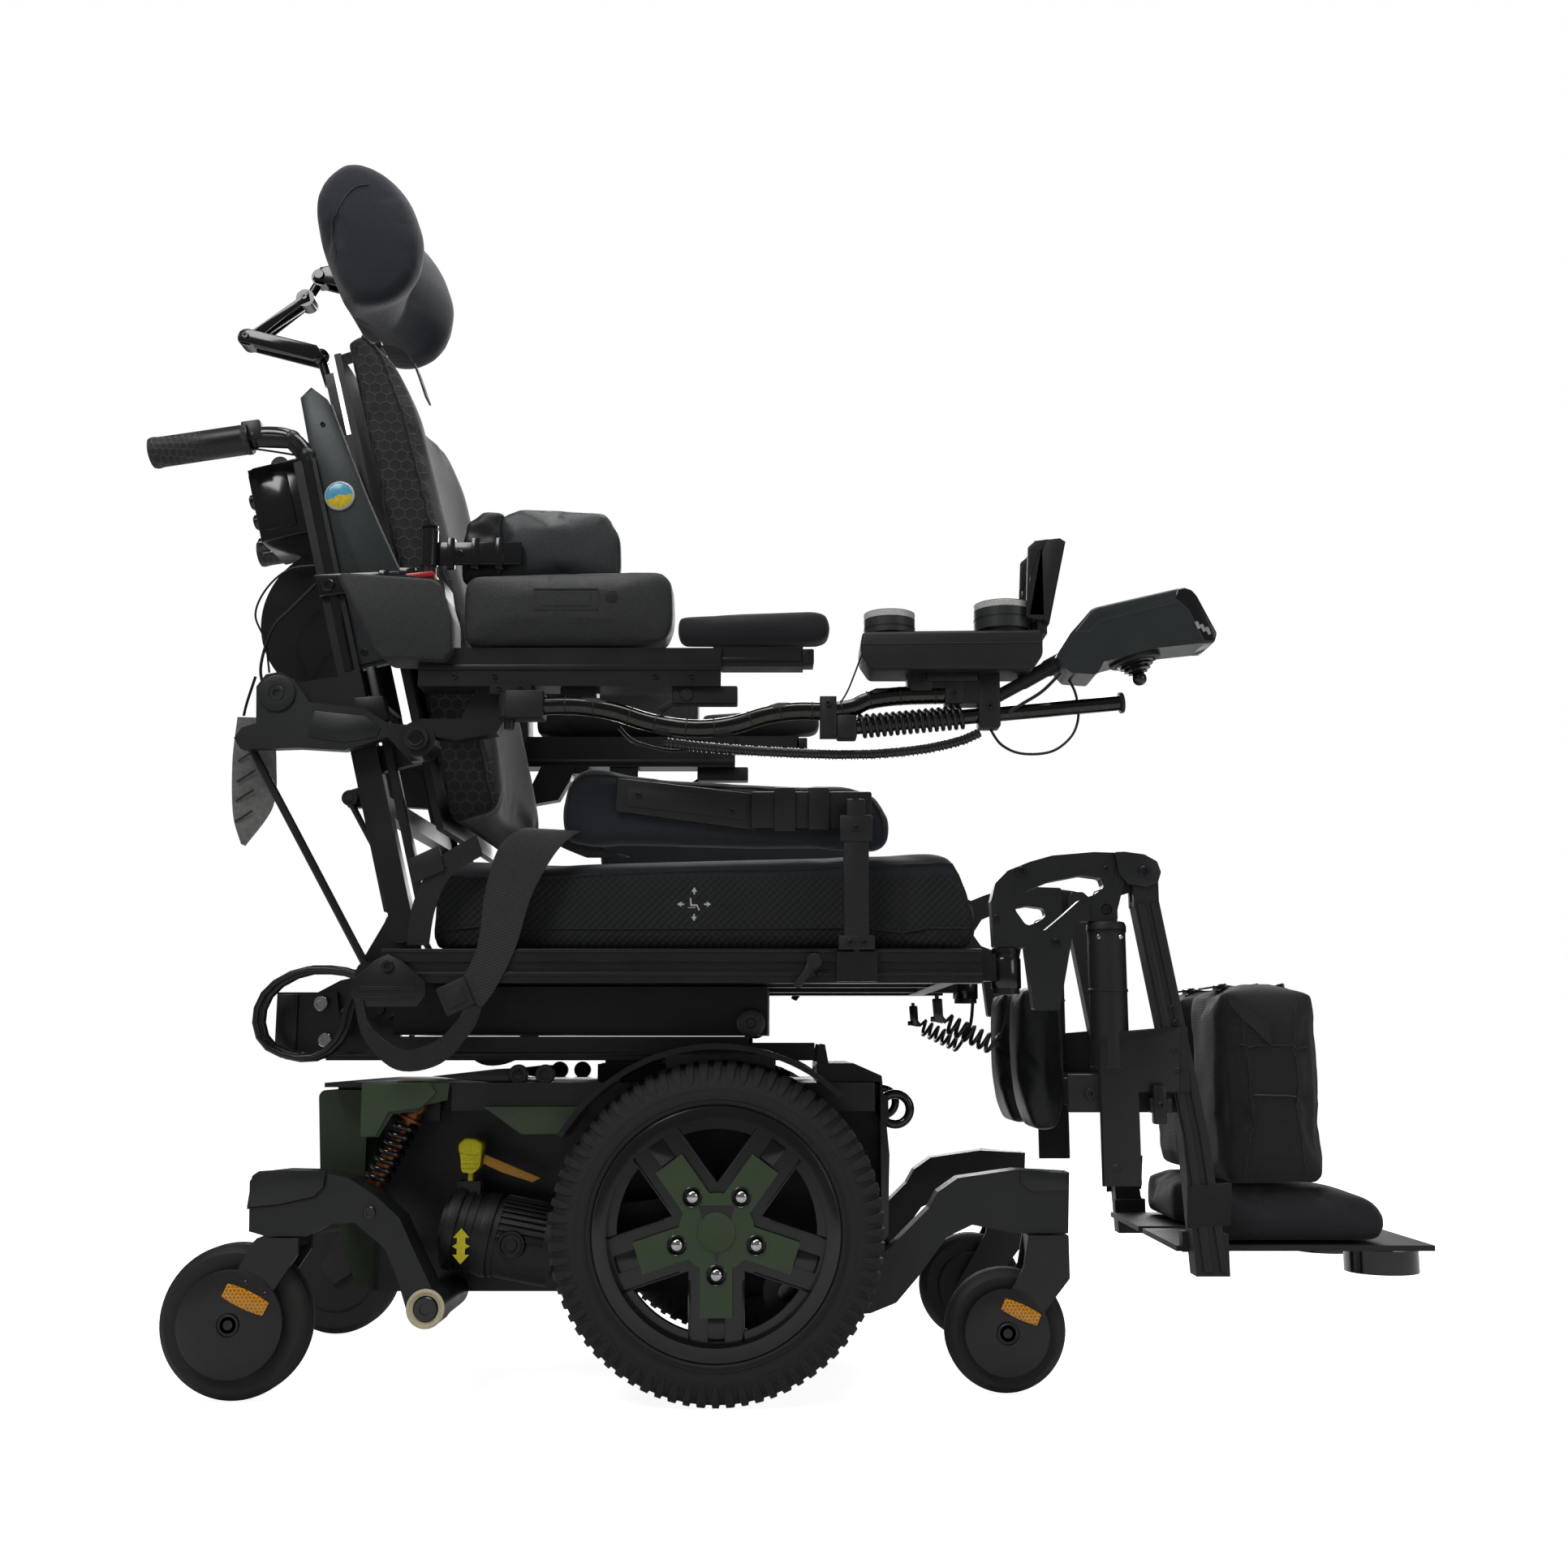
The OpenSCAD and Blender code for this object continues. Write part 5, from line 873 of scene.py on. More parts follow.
def makeSidePads(sideName, sign):
    outward = Vector((0, sign, 0))
    # trunk pad: smooth leatherette with a gathered rear end
    pad = soften(cut([(-262, 903), (-262, 982), (-238, 992), (-136, 987), (-119, 957), (-118, 911), (-129, 903)], sign * 165, sign * 196, 11, 4),
                 "trunk_pad_" + sideName, [leather], 0.0045, 0.006, 4.0, wrinkle=0.0010, wrinkleSize=0.045)
    pad.modifiers.new("smooth", "SUBSURF").levels = 1
    settle(pad, "lateral_" + sideName, "lateral_skin", 0.8, "lateral_pad_" + sideName)
    rear = soften(cut([(-306, 903), (-300, 975), (-284, 988), (-256, 990), (-254, 903)], sign * 164, sign * 197, 11, 4),
                  "trunk_pad_end_" + sideName, [gatheredSkin], 0.0045, 0.006, 4.0, wrinkle=0.0042, wrinkleSize=0.016)
    rear.modifiers.new("smooth", "SUBSURF").levels = 1
    settle(rear, "lateral_" + sideName, "lateral_skin", 0.6)
    y = 209
    sleeve = turned([(6.1, 914.6), (9, 914.6), (10, 915.6), (10, 959), (9, 960), (6.1, 960), (6.1, 914.6)], Vector((at(-338, 0, 0).x, sign * y / 1000, 0)), (0, 0, 1), 32)
    arm = block(-330, -232, sign * (y - 7), sign * (y - 1), 919, 946, 1.5)
    clamps = [block(x, x + 9, sign * (y - 8.5), sign * (y + 0.5), 914, 951, 1.5) for x in (-318, -290, -262)]
    finishPiece(gather([sleeve, arm, *clamps, screw(at(-303, sign * (y - 1.2), 932), outward, 4, 2.4)]), "trunk_bracket_" + sideName, glossBlack, "lateral_" + sideName, 35, recalc=False)
    # thigh support with its plate, clamp and post
    thigh = soften(cut([(-178, 600), (-182, 630), (-176, 664), (-160, 682), (-140, 684), (-60, 675), (48, 669), (140, 664), (176, 651), (192, 622), (190, 598), (180, 588), (40, 586), (-140, 591)], sign * 170, sign * 204, 11, 4),
                   "thigh_pad_cover_" + sideName, [cushionTop], 0.0055, 0.006, 4.0)
    seamRoute = smoothRoute([at(x, sign * 212, z) for x, z in ((-180, 610), (-176, 656), (-150, 677), (-60, 670), (50, 664), (142, 658), (174, 643), (188, 606))], 8)
    wire("thigh_seam_" + sideName, hug(thigh, seamRoute, 0.2), 1.1, webbingDark, "thigh_" + sideName, "thigh_fabric")
    thigh.modifiers.new("smooth", "SUBSURF").levels = 1
    settle(thigh, "thigh_" + sideName, "thigh_fabric", 0.75, "thigh_pad_" + sideName)
    hardware = [cut([(-118, 630), (-116, 668), (40, 650), (40, 608)], sign * 211, sign * 218, 2), cut([(-106, 636), (-104, 658), (28, 643), (28, 620)], sign * 217.5, sign * 219.5, 1.5),
                block(34, 169, sign * 211, sign * 222, 610, 652, 2.5), block(60, 84, sign * 221, sign * 226, 606, 656, 2), block(98, 122, sign * 221, sign * 226, 608, 656, 2),
                block(136, 164, sign * 236, sign * 246, 478, 614, 2), block(140, 160, sign * 220, sign * 246, 600, 640, 2),
                block(132, 168, sign * 234.5, sign * 247.5, 592, 622, 2.5), block(130, 170, sign * 235.5, sign * 247, 474, 490, 2)]
    hardware += [screw(at(x, sign * 219.2, z), outward, 3.6, 2.4) for x, z in ((-92, 648), (14, 630))]
    hardware += [screw(at(x, sign * 247.2, z), outward, 4.2, 2.6) for x, z in ((150, 607), (143, 482), (158, 482))]
    hardware.append(turned([(0, 0), (5, 0), (5, 200), (0, 200)], at(150, sign * 241, 440), (0, 0, 1), 24))
    finishPiece(gather(hardware), "thigh_bracket_" + sideName, matPlastic, "thigh_" + sideName, 35, recalc=False)
    # arm pads
    main = soften(cut([(-281, 808), (-281, 872), (-272, 883), (-64, 888), (-52, 877), (-50, 832), (-58, 808)], sign * 237, sign * 289, 9, 4),
                  "arm_pad_main_" + sideName, [padSkin], 0.005, 0.005, 4.0)
    mark = []
    for x0, x1, z0, z1 in ((-203, -132, 864, 865.6), (-203, -132, 841, 842.6), (-203, -201.4, 841, 865.6), (-133.6, -132, 841, 865.6)):
        mark.append(block(x0, x1, 0, 1, z0, z1, 0.0))
    mark.append(block(-196, -140, 0, 0.6, 846, 860, 0.0))
    markWhole = gather(mark)
    for v in markWhole.verts:
        ok, place, normal, index = main.closest_point_on_mesh(Vector((v.co.x, sign * 0.32, v.co.z)))
        v.co.y = place.y + sign * (0.0005 if v.co.y > 0.0003 else -0.0008)
    finishPiece(markWhole, "arm_pad_panel_" + sideName, padSkin, "armrest_" + sideName, 30)
    dotPlace = hug(main, [at(-117, sign * 320, 856)], 0.1)[0]
    finishPiece(turned([(0, 0.3), (6.6, 0.3), (7.2, 0.0), (7.4, -0.8)], dotPlace, outward, 28), "arm_pad_dot_" + sideName, slimFabric, "armrest_" + sideName, 40)
    main.modifiers.new("smooth", "SUBSURF").levels = 1
    settle(main, "armrest_" + sideName, "armrest_skin", 0.9, "armrest_pad_" + sideName)
    slim = soften(cut([(-46, 810), (-46, 838), (108, 845), (120, 839), (123, 822), (116, 810)], sign * 243, sign * 283, 8, 4),
                  "arm_pad_front_" + sideName, [slimFabric], 0.005, 0.005, 4.0)
    slim.modifiers.new("smooth", "SUBSURF").levels = 1
    settle(slim, "armrest_" + sideName, "armrest_skin", 0.9)
    wedge = cut([(-420, 881), (-414, 885), (-316, 878), (-305, 872), (-293, 836), (-291, 796), (-300, 786), (-366, 789), (-373, 795), (-402, 846)],
                sign * 235.5, sign * 290.5, 5, 3)
    finishPiece(wedge, "elbow_block_" + sideName, padSkin, "armrest_" + sideName, 50)
    track = [block(-328, 0, sign * 234.5, sign * 238, 764, 770, 0.8), block(-328, 0, sign * 276.5, sign * 277.6, 778, 784, 0.5), block(-10, 90, sign * 272.5, sign * 273.6, 789, 793, 0.5),
             block(88, 104, sign * 242, sign * 272, 786, 803, 1.5)]
    track += [screw(at(x, sign * 276.6, 771), outward, 3.0, 1.8) for x in (-290, -246, -70, -30)]
    track += [screw(at(x, sign * 282.2, 756), outward, 3.2, 1.8) for x in (-240, -216)]
    finishPiece(gather(track), "arm_track_" + sideName, blackPaint, "armrest_" + sideName, 35, recalc=False)
    finishPiece(gather([screw(at(-333, sign * 261.2, 705), outward, 8.5, 3.5, 24)]), "elbow_bolt_" + sideName, glossBlack, "links", 30, recalc=False)
    finishPiece(gather([screw(at(-498, sign * 230.5, 762), outward, 8.5, 3.0, 24),
                        turned([(9, 0), (19, 0), (20.5, 1), (20.5, 2.2), (19, 2.6), (9, 2.2), (9, 0)], at(-498, sign * 230.2, 762), outward, 40),
                        cut([(-455, 742), (-398, 736), (-380, 722), (-384, 712), (-420, 706), (-462, 712)], sign * 229.6, sign * 231.2, 0.7)]),
                "link_trim_" + sideName, castBlack, "links", 35, recalc=False)


bothSides(makeSidePads)
print("side pads and arm pads done")


# ---- back frame ----
def backRod(points, radius, name, material, per=6, sides=3):
    route = smoothRoute([onBack(*p) for p in points], per)
    return wire(name, route, radius, material, "back", "back_metal", sides)


def makeBackFrame():
    def plateTest(x, y, z, n):
        w, s = backPlace(Vector((x / 1000 - 0.062, y / 1000, z / 1000)))
        return 13.5 < w < 90 and 298 < s < 652 and 187 < abs(y) < 197
    paintPart("back_frame", backPlate, plateTest)
    paintPart("back_frame", glossBlack, lambda x, y, z, n: backPlace(Vector((x / 1000 - 0.062, y / 1000, z / 1000)))[0] < -6.5 and abs(y) < 91)
    for sideName, sign in (("right", -1), ("left", 1)):
        outward = Vector((0, sign, 0))
        handle = [(2, sign * 195, 300), (3.5, sign * 195, 520), (3, sign * 195, 562), (-9, sign * 195, 591), (-34, sign * 195, 603), (-60, sign * 195, 605)]
        backRod(handle, 10.9, "push_handle_" + sideName, glossBlack, 8, 4)
        axis = (onBack(-172, sign * 195, 615) - onBack(-56, sign * 195, 604.6)).normalized()
        grip = turned([(10.5, 0), (16.2, 0), (18.0, 1.6), (18.2, 5), (17.4, 8), (17.5, 60), (17.6, 106), (18.4, 111), (18.2, 114.5), (15.5, 116.4), (0, 116.6)], onBack(-56, sign * 195, 604.6), axis, 48)
        finishPiece(grip, "push_grip_" + sideName, gripRubber, "back", 40)
        # side plate over the cane: outline with a strip along its front edge (bright steel on the near right side as a
        # painted highlight, dark steel on the far left side), slot and screws
        plate = backCut([(10, 305), (55, 305), (58, 340), (84, 386), (62, 495), (42, 625), (27, 646), (12, 640), (10, 560)], sign * 196.4, sign * 199.4, 1.0)
        slot = backCut([(44, 330), (52, 330), (52, 382), (44, 382)], sign * 199.2, sign * 199.8, 0.2)
        edge = wire("back_plate_edge_" + sideName, smoothRoute([onBack(w, sign * 198, s) for w, s in ((56, 306), (60, 342), (85, 387), (80, 410), (63, 496), (44, 622))], 6), 1.5, brightSteel if sign < 0 else boltSteel, "back", "back_metal", 2)
        finishPiece(plate, "back_side_plate_" + sideName, backPlate, "back", 40)
        finishPiece(slot, "back_plate_slot_" + sideName, caseDark, "back", 40)
        extras = [screw(onBack(34, sign * 199.3, 355), outward, 3.4, 2), screw(onBack(30, sign * 199.3, 600), outward, 3.0, 2), screw(onBack(22, sign * 199.3, 318), outward, 4.2, 2.6)]
        finishPiece(gather(extras), "back_plate_screws_" + sideName, glossBlack, "back", 30, recalc=False)
        # trunk pad hinge arm
        hinge = [cut([(-470, 906), (-335, 912), (-331, 897), (-462, 880)], sign * 204, sign * 211.5, 1.2), block(-372, -352, sign * 203, sign * 214, 898, 914, 2), block(-395, -383, sign * 203, sign * 213, 894, 911, 1.5),
                 screw(at(-452, sign * 211.6, 893), outward, 7, 3.0), turned([(5.9, 0), (8.6, 0), (9.4, 0.8), (9.4, 2.6), (0, 2.8)], at(-338, sign * 209, 961.6), (0, 0, 1), 28)]
        finishPiece(gather(hinge), "trunk_hinge_" + sideName, glossBlack, "back", 35, recalc=False)
        # lower cane rails and the shell brackets
        rails = [backCut([(-16, 20), (-9, 20), (-9, 292), (-16, 292)], sign * 187, sign * 203, 1.2), backCut([(20, 20), (30, 20), (30, 300), (20, 300)], sign * 184, sign * 200, 1.2),
                 backCut([(0, 238), (34, 232), (34, 262), (0, 268)], sign * 186, sign * 205, 2)]
        finishPiece(gather(rails), "back_rails_" + sideName, blackPaint, "back", 35, recalc=False)
    # round badge in two plain halves, on the right plate only
    badgePlace = at(-447, -199.6, 1004)
    disc = finishPiece(turned([(0, 4.6), (12, 4.4), (15.6, 3.6), (17.4, 2.0), (17.6, 0.2), (0, 0)], badgePlace, (0, -1, 0), 48), "round_badge", [skyPrint, sunPrint, pearlRim], "back", 40)
    for face in disc.data.polygons:
        c = face.center - badgePlace
        r = math.hypot(c.x, c.z)
        face.material_index = 2 if r > 0.0152 else (0 if c.z > -0.002 + 0.25 * c.x else 1)
    # headrest receiver, attendant box, knobs, red catch
    box = [backCut([(-76, 488), (-4, 488), (-4, 582), (-70, 582), (-76, 574)], -167, -75, 2.5), backCut([(-66, 500), (-30, 500), (-30, 566), (-66, 566)], -169, -166, 1.5)]
    for s in (500, 530, 556):
        box.append(turned([(0, 13), (7, 13), (9.4, 11), (9.6, 2), (8, 0), (0, 0)], onBack(-76, -126, s), onBack(-1, 0, 0) - onBack(0, 0, 0), 20))
    box.append(turned([(0, -3), (6, -3), (6, 6), (11.6, 8), (12, 16), (10, 18.5), (0, 18.5)], onBack(-48, -106, 584), onBack(0, 0, 1) - onBack(0, 0, 0), 28))
    finishPiece(gather(box), "attendant_box", glossBlack, "back", 35, recalc=False)
    finishPiece(backCut([(-64, 598), (-40, 598), (-40, 622), (-62, 624)], -206, -190, 2.0), "handle_clamp", blackPaint, "back", 35)
    red = block(-352, -320, -262, -214, 887, 894, 2)
    bmesh.ops.rotate(red, cent=at(-335, 0, 888), matrix=Matrix.Rotation(math.radians(-6), 3, "Y"), verts=red.verts)
    redStem = block(-348, -330, -214, -200, 884, 890, 1)
    finishPiece(gather([red, redStem]), "red_catch", redPlastic, "back", 40, recalc=False)
    # laminated card with dark slits, hung behind the back
    left, right = [at(-553, -196, 742), at(-556, -196, 690), at(-552, -196, 630), at(-541, -196, 596)], [at(-513, -190, 742), at(-508, -189, 690), at(-509, -189, 640), at(-537, -193, 594)]
    card = ribbon("care_card", left, right, 0.9, tagPaper, "back", 8, 8)
    slits = [ribbon("care_card_slit_%d" % k, [at(-549, -197.2, z), at(-530, -196, z + 13)], [at(-549, -197.2, z - 2.4), at(-530, -196, z + 10.6)], 1.0, tagSlit, "back", 3, 1) for k, z in enumerate((716, 692, 668, 646, 622))]
    # thin cables looping behind the back and from the clamp on the handle
    loops = [("rear_cable_loop", [(-470, 906), (-502, 872), (-522, 848), (-533, 800), (-520, 765), (-500, 748)], -186, 1.7), ("rear_cable_thin", [(-472, 930), (-510, 925), (-536, 902), (-548, 870), (-535, 838), (-528, 800)], -170, 1.2),
             ("rear_cable_down", [(-536, 790), (-544, 760), (-547, 744)], -193, 1.6)]
    for label, pts, y, radius in loops:
        route = smoothRoute([at(x, y, z) for x, z in pts], 7)
        piece = wire(label, route, radius, cableBlack, "back", "cable")
    for label, pts in (("brake_cable_top", [(-573, -190, 1082), (-530, -186, 1079), (-480, -182, 1070), (-452, -178, 1064)]), ("brake_cable_low", [(-568, -190, 1068), (-520, -186, 1062), (-480, -182, 1056), (-452, -178, 1052)])):
        route = smoothRoute([at(*p) for p in pts], 7)
        piece = wire(label, route, 1.2, cableBlack, "back", "cable")
    clamp = [turned([(0, -8), (5.5, -8), (6, -7), (6, 7), (5.5, 8), (0, 8)], at(-572, -190, 1076), (0.2, 0, 1), 20)]
    finishPiece(gather(clamp), "cable_clamp", brassDull, "back", 35, recalc=False)
    # strap over the top of the back cushion
    strapA = [onBack(40, -78, 740), onBack(70, -78, 742), onBack(110, -78, 738), onBack(131, -78, 718), onBack(139, -78, 660)]
    strapB = [onBack(40, -52, 740), onBack(70, -52, 742), onBack(110, -52, 738), onBack(131, -52, 718), onBack(139, -52, 660)]
    ribbon("back_top_strap", strapA, strapB, 2.2, webbingDark, "back", 6, 3)
    finishPiece(gather([backCut([(62, 738), (100, 738), (100, 748), (62, 748)], -82, -48, 2.2)]), "back_strap_buckle", glossBlack, "back", 35)
    # headrest link cover plates
    for sign in (-1, 1):
        plates = [cut([(-640, 1299), (-626, 1299), (-556, 1353), (-553, 1340), (-566, 1334), (-628, 1281), (-642, 1283)], sign * 8.5, sign * 12.5, 1.0), cut([(-642, 1296), (-626, 1298), (-540, 1276), (-531, 1262), (-544, 1256), (-630, 1279), (-644, 1282)], sign * 11.5, sign * 15.5, 1.0)]
        plates += [screw(at(x, sign * 13, z), (0, sign, 0), 4.2, 2.4) for x, z in ((-560, 1344), (-538, 1267))] + [screw(at(-634, sign * 15.6, 1289), (0, sign, 0), 4.6, 2.4)]
        finishPiece(gather(plates), "headrest_links_" + ("right" if sign < 0 else "left"), glossBlack, "headrest_arm", 35, recalc=False)
    print("back frame dressed")


makeBackFrame()


# ---- seat rails, belts and carriage ----
def makeSeatDetail(sideName, sign):
    outward = Vector((0, sign, 0))
    paintPart("seat_frame", brightSteel, lambda x, y, z, n: False)
    parts = [cut([(-398, 441), (-374, 463), (-359, 470), (-344, 463), (-318, 441), (-317, 425), (-326, 413), (-389, 413), (-398, 425)], sign * 238, sign * 241, 1.0)]
    parts += [cut([(-388, z), (-328, z), (-328, z + 4), (-388, z + 4)], sign * 240.8, sign * 241.8, 0.4) for z in (420, 431)]
    parts += [screw(at(-359, sign * 241, 457), outward, 6.6, 3.4, 24), screw(at(-262, sign * 235.2, 458), outward, 7, 3.0, 24), screw(at(110, sign * 235.2, 447), outward, 4.5, 2.2)]
    parts.append(cut([(-368, 476), (-368, 472), (287, 472), (287, 476)], sign * 229, sign * 236.2, 0.8))
    parts.append(cut([(-366, 450.5), (-366, 447), (287, 447), (287, 450.5)], sign * 233.5, sign * 236.4, 0.7))
    finishPiece(gather(parts), "rail_details_" + sideName, blackPaint, "seat", 35, recalc=False)
    lever = gather([turned([(0, 0), (8, 0), (8.6, 1), (8.6, 8), (7.6, 9), (0, 9)], at(104, sign * 235.2, 462), outward, 24), cut([(98, 466), (107, 464), (99, 447), (88, 432), (80, 436), (92, 452)], sign * 238, sign * 244, 2.0)])
    finishPiece(lever, "rail_lever_" + sideName, matPlastic, "seat", 40, recalc=False)
    # wide belt from its anchor up and over the edge of the cushion
    y = sign * 237.5
    edgeFront = [at(-262, y, 407), at(-244, y, 430), at(-222, y, 476), at(-205, y, 535), at(-180, sign * 233, 583), at(-160, sign * 214, 606), at(-150, sign * 186, 610)]
    edgeRear = [at(-296, y, 417), at(-274, y, 452), at(-262, y, 484), at(-256, y, 540), at(-243, sign * 233, 588), at(-222, sign * 214, 610), at(-206, sign * 186, 612)]
    belt = ribbon("lap_belt_" + sideName, edgeFront, edgeRear, 1.8, webbing, "seat", 8, 6)
    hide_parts("seat_belt")
    tongue = ribbon("lap_belt_end_" + sideName, [at(-150, sign * 186, 608), at(-132, sign * 168, 592), at(-120, sign * 148, 590), at(-110, sign * 120, 590)],
                    [at(-206, sign * 186, 611), at(-186, sign * 168, 598), at(-170, sign * 148, 592), at(-160, sign * 120, 590)], 1.8, webbing, "seat", 6, 4)
    buckle = gather([cut([(-306, 432), (-276, 446), (-262, 416), (-292, 402)], sign * 239, sign * 244.5, 1.8), cut([(-298, 427), (-279, 436), (-271, 419), (-290, 410)], sign * 244, sign * 246, 0.8)])
    finishPiece(buckle, "belt_buckle_" + sideName, matPlastic, "seat", 35, recalc=False)
    # second strap with its adjuster near the back, and the loop under the rail
    ribbon("hip_strap_" + sideName, [at(-318, sign * 228, 480), at(-312, sign * 230, 520), at(-296, sign * 230, 556), at(-262, sign * 226, 580)], [at(-342, sign * 228, 480), at(-336, sign * 230, 528), at(-312, sign * 230, 574), at(-270, sign * 226, 602)], 1.8, webbingDark, "seat", 6, 4)
    finishPiece(gather([cut([(-334, 548), (-302, 562), (-310, 590), (-344, 574)], sign * 229.5, sign * 234.5, 1.8)]), "hip_adjuster_" + sideName, matPlastic, "seat", 35)
    ribbon("hip_loop_" + sideName, [at(-384, sign * 242, 420), at(-374, sign * 244, 392), at(-340, sign * 246, 368), at(-304, sign * 246, 376), at(-280, sign * 244, 400), at(-272, sign * 242, 420)],
           [at(-392, sign * 242, 414), at(-380, sign * 244, 378), at(-344, sign * 246, 346), at(-298, sign * 246, 352), at(-266, sign * 244, 386), at(-256, sign * 242, 410)], 1.8, webbingDark, "seat", 6, 4)
    # tilt pins and carriage details
    finishPiece(gather([screw(at(-457, sign * 144.6, 419), outward, 8.4, 3.0, 28), screw(at(-451, sign * 143.6, 378), outward, 8.0, 2.6, 28)]), "tilt_pin_heads_" + sideName, brightSteel, "carriage", 30, recalc=False)
    finishPiece(gather([cut([(-508, 366), (-508, 430), (-484, 430), (-484, 366)], sign * 140.6, sign * 143.6, 1.2), cut([(-440, 360), (28, 360), (28, 364), (-440, 364)], sign * 140.6, sign * 142.6, 0.7)]), "carriage_trim_" + sideName, blackPaint, "carriage", 35, recalc=False)
    washer = turned([(5, 0), (15, 0), (16.4, 1), (16.4, 2.6), (15, 3.2), (6, 3.0), (5.4, 2.0), (5, 0)], at(33, sign * 128.2, 397), outward, 40)
    finishPiece(gather([washer, screw(at(33, sign * 129, 397), outward, 5.5, 3)]), "case_washer_" + sideName, steelGrey, "seat", 35, recalc=False)


bothSides(makeSeatDetail)


# ---- arm controls ----
def makeControls():
    y = cords["armY"]
    outward = Vector((0, -1, 0))
    pathPoints = [at(x, y, z) for x, z in ((-218, 737), (-136, 738), (-59, 714), (3, 712), (66, 732), (137, 732), (173, 748), (272, 751))]
    tubeRoute = chaikin(pathPoints)
    tubeRoute = smoothRoute(tubeRoute, 4)
    wire("segmented_tube", tubeRoute, 10.1, darkChrome, "controls", "control_metal", 5)
    joints = []
    travelled, nextJoint = 0.0, 0.012
    for a, b in zip(tubeRoute, tubeRoute[1:]):
        travelled += (b - a).length
        if travelled > nextJoint:
            joints.append(turned([(9.6, -0.7), (10.35, -0.7), (10.35, 0.7), (9.6, 0.7), (9.6, -0.7)], b, (b - a).normalized(), 32))
            nextJoint += 0.034
    finishPiece(gather(joints), "tube_joint_lines", caseDark, "controls", 35, recalc=False)
    ends = []
    for a, b in ((0, 1), (-1, -2)):
        d = (tubeRoute[b] - tubeRoute[a]).normalized()
        ends.append(turned([(9.8, 0), (11.3, 0), (11.6, 1), (11.6, 11), (11.2, 12), (9.8, 12), (9.8, 0)], tubeRoute[a] + d * 0.002, d, 36))
    finishPiece(gather(ends), "tube_end_rings", glossBlack, "controls", 35, recalc=False)
    wire("straight_tube", [armLow, armHigh], 8.25, darkChrome, "controls", "control_metal", 5)
    finishPiece(turned([(0, 4.8), (10.4, 4.6), (11.5, 3.6), (11.5, 0.4), (8, -0.4)], armHigh, armDir, 36), "tube_cap", matPlastic, "controls", 35)
    # bright beads of the corrugated conduit
    beads = []
    travelled, nextBead = 0.0, 0.004
    fineRoute = smoothRoute(conduitRoute, 12)
    for a, b in zip(fineRoute, fineRoute[1:]):
        travelled += (b - a).length
        if travelled > nextBead:
            beads.append(turned([(4.6, -1.2), (5.7, -0.7), (5.7, 0.7), (4.6, 1.2), (4.6, -1.2)], b, (b - a).normalized(), 14))
            nextBead += 0.0046
    finishPiece(gather(beads), "conduit_beads", conduitShine, "controls", 50, recalc=False)
    # clamp, mounting bars and saddles
    bars = [block(-232, -190, y - 14, y + 14, 722, 753, 2.5), block(208, 232, y - 13, y + 13, 752, 773, 2), block(246, 266, y - 13, y + 13, 738, 773, 2), block(226, 282, y - 15, y + 15, 762, 772, 2),
            block(282, 306, y - 12.5, y + 12.5, 712, 775, 3), block(128, 150, y - 11.5, y + 11.5, 700, 726, 2.5), block(112, 126, y - 12.6, y + 12.6, 704, 745, 1.5)]
    bars += [screw(at(x, y - 13.2, z), outward, 3.6, 2.0) for x, z in ((220, 762), (256, 748), (294, 735), (119, 738))]
    finishPiece(gather(bars), "control_clamps", matPlastic, "controls", 35, recalc=False)
    # switch box shell with its parting line, and the pale rims of the two push switches
    shell = [cut([(156, 813.5), (153.5, 800), (154, 788), (165, 771.5), (339, 771.5), (350.5, 788), (350.5, 815.5)], y - 32, y + 32, 4, 3)]
    finishPiece(shell[0], "switch_box_shell", matPlastic, "controls", 40)
    line = [at(x, y - 32.1, z) for x, z in ((154, 799), (350, 801))]
    wire("switch_box_line", line, 0.7, caseDark, "controls", "control_plastic", 1)
    for label, x, z, r in (("rear", 187, 840, 28), ("front", 312, 850, 32)):
        rim = turned([(r - 3.5, -6.5), (r + 0.15, -7.2), (r + 0.35, -1.2), (r - 0.8, 0.4), (r - 3.5, 0.6), (r - 5, 0.2), (r - 3.5, -6.5)], at(x, y, z), (0, 0, 1), 72)
        finishPiece(rim, "switch_rim_" + label, pearlRim, "button_" + label, 35)
        dome = turned([(0, 1.1), (r * 0.5, 1.0), (r - 5, 0.4), (r - 4, -0.5), (0, -0.5)], at(x, y, z), (0, 0, 1), 48)
        finishPiece(dome, "switch_face_" + label, puckGrey, "button_" + label, 40)
        finishPiece(turned([(r - 2.5, -18), (r + 0.3, -18), (r + 0.3, -16.5), (r - 2.5, -16.5), (r - 2.5, -18)], at(x, y, z), (0, 0, 1), 72), "switch_line_" + label, caseDark, "button_" + label, 35)
    # screen in its deep frame
    frameParts = [cut([(352, 903), (358, 917), (377, 915), (376, 909), (356, 826), (352, 824)], y - 32.2, y + 32.2, 1.2)]
    for s in (-1, 1):
        frameParts.append(cut([(333, 830), (337, 908), (345, 915), (360, 917), (352, 905), (348, 903), (338, 874), (336, 830)], y + s * 29 - 3.2, y + s * 29 + 3.2, 1.0))
    finishPiece(gather(frameParts), "screen_frame", matPlastic, "controls", 35, recalc=False)
    finishPiece(gather([cut([(337, 832), (351, 904), (352.5, 904), (352.5, 832)], y - 31.0, y - 30.2, 0), cut([(350.6, 830), (351.8, 830), (351.8, 904), (350.6, 904)], y - 26, y + 26, 0.2)]), "screen_glass", screenGrey, "controls", 35, recalc=False)
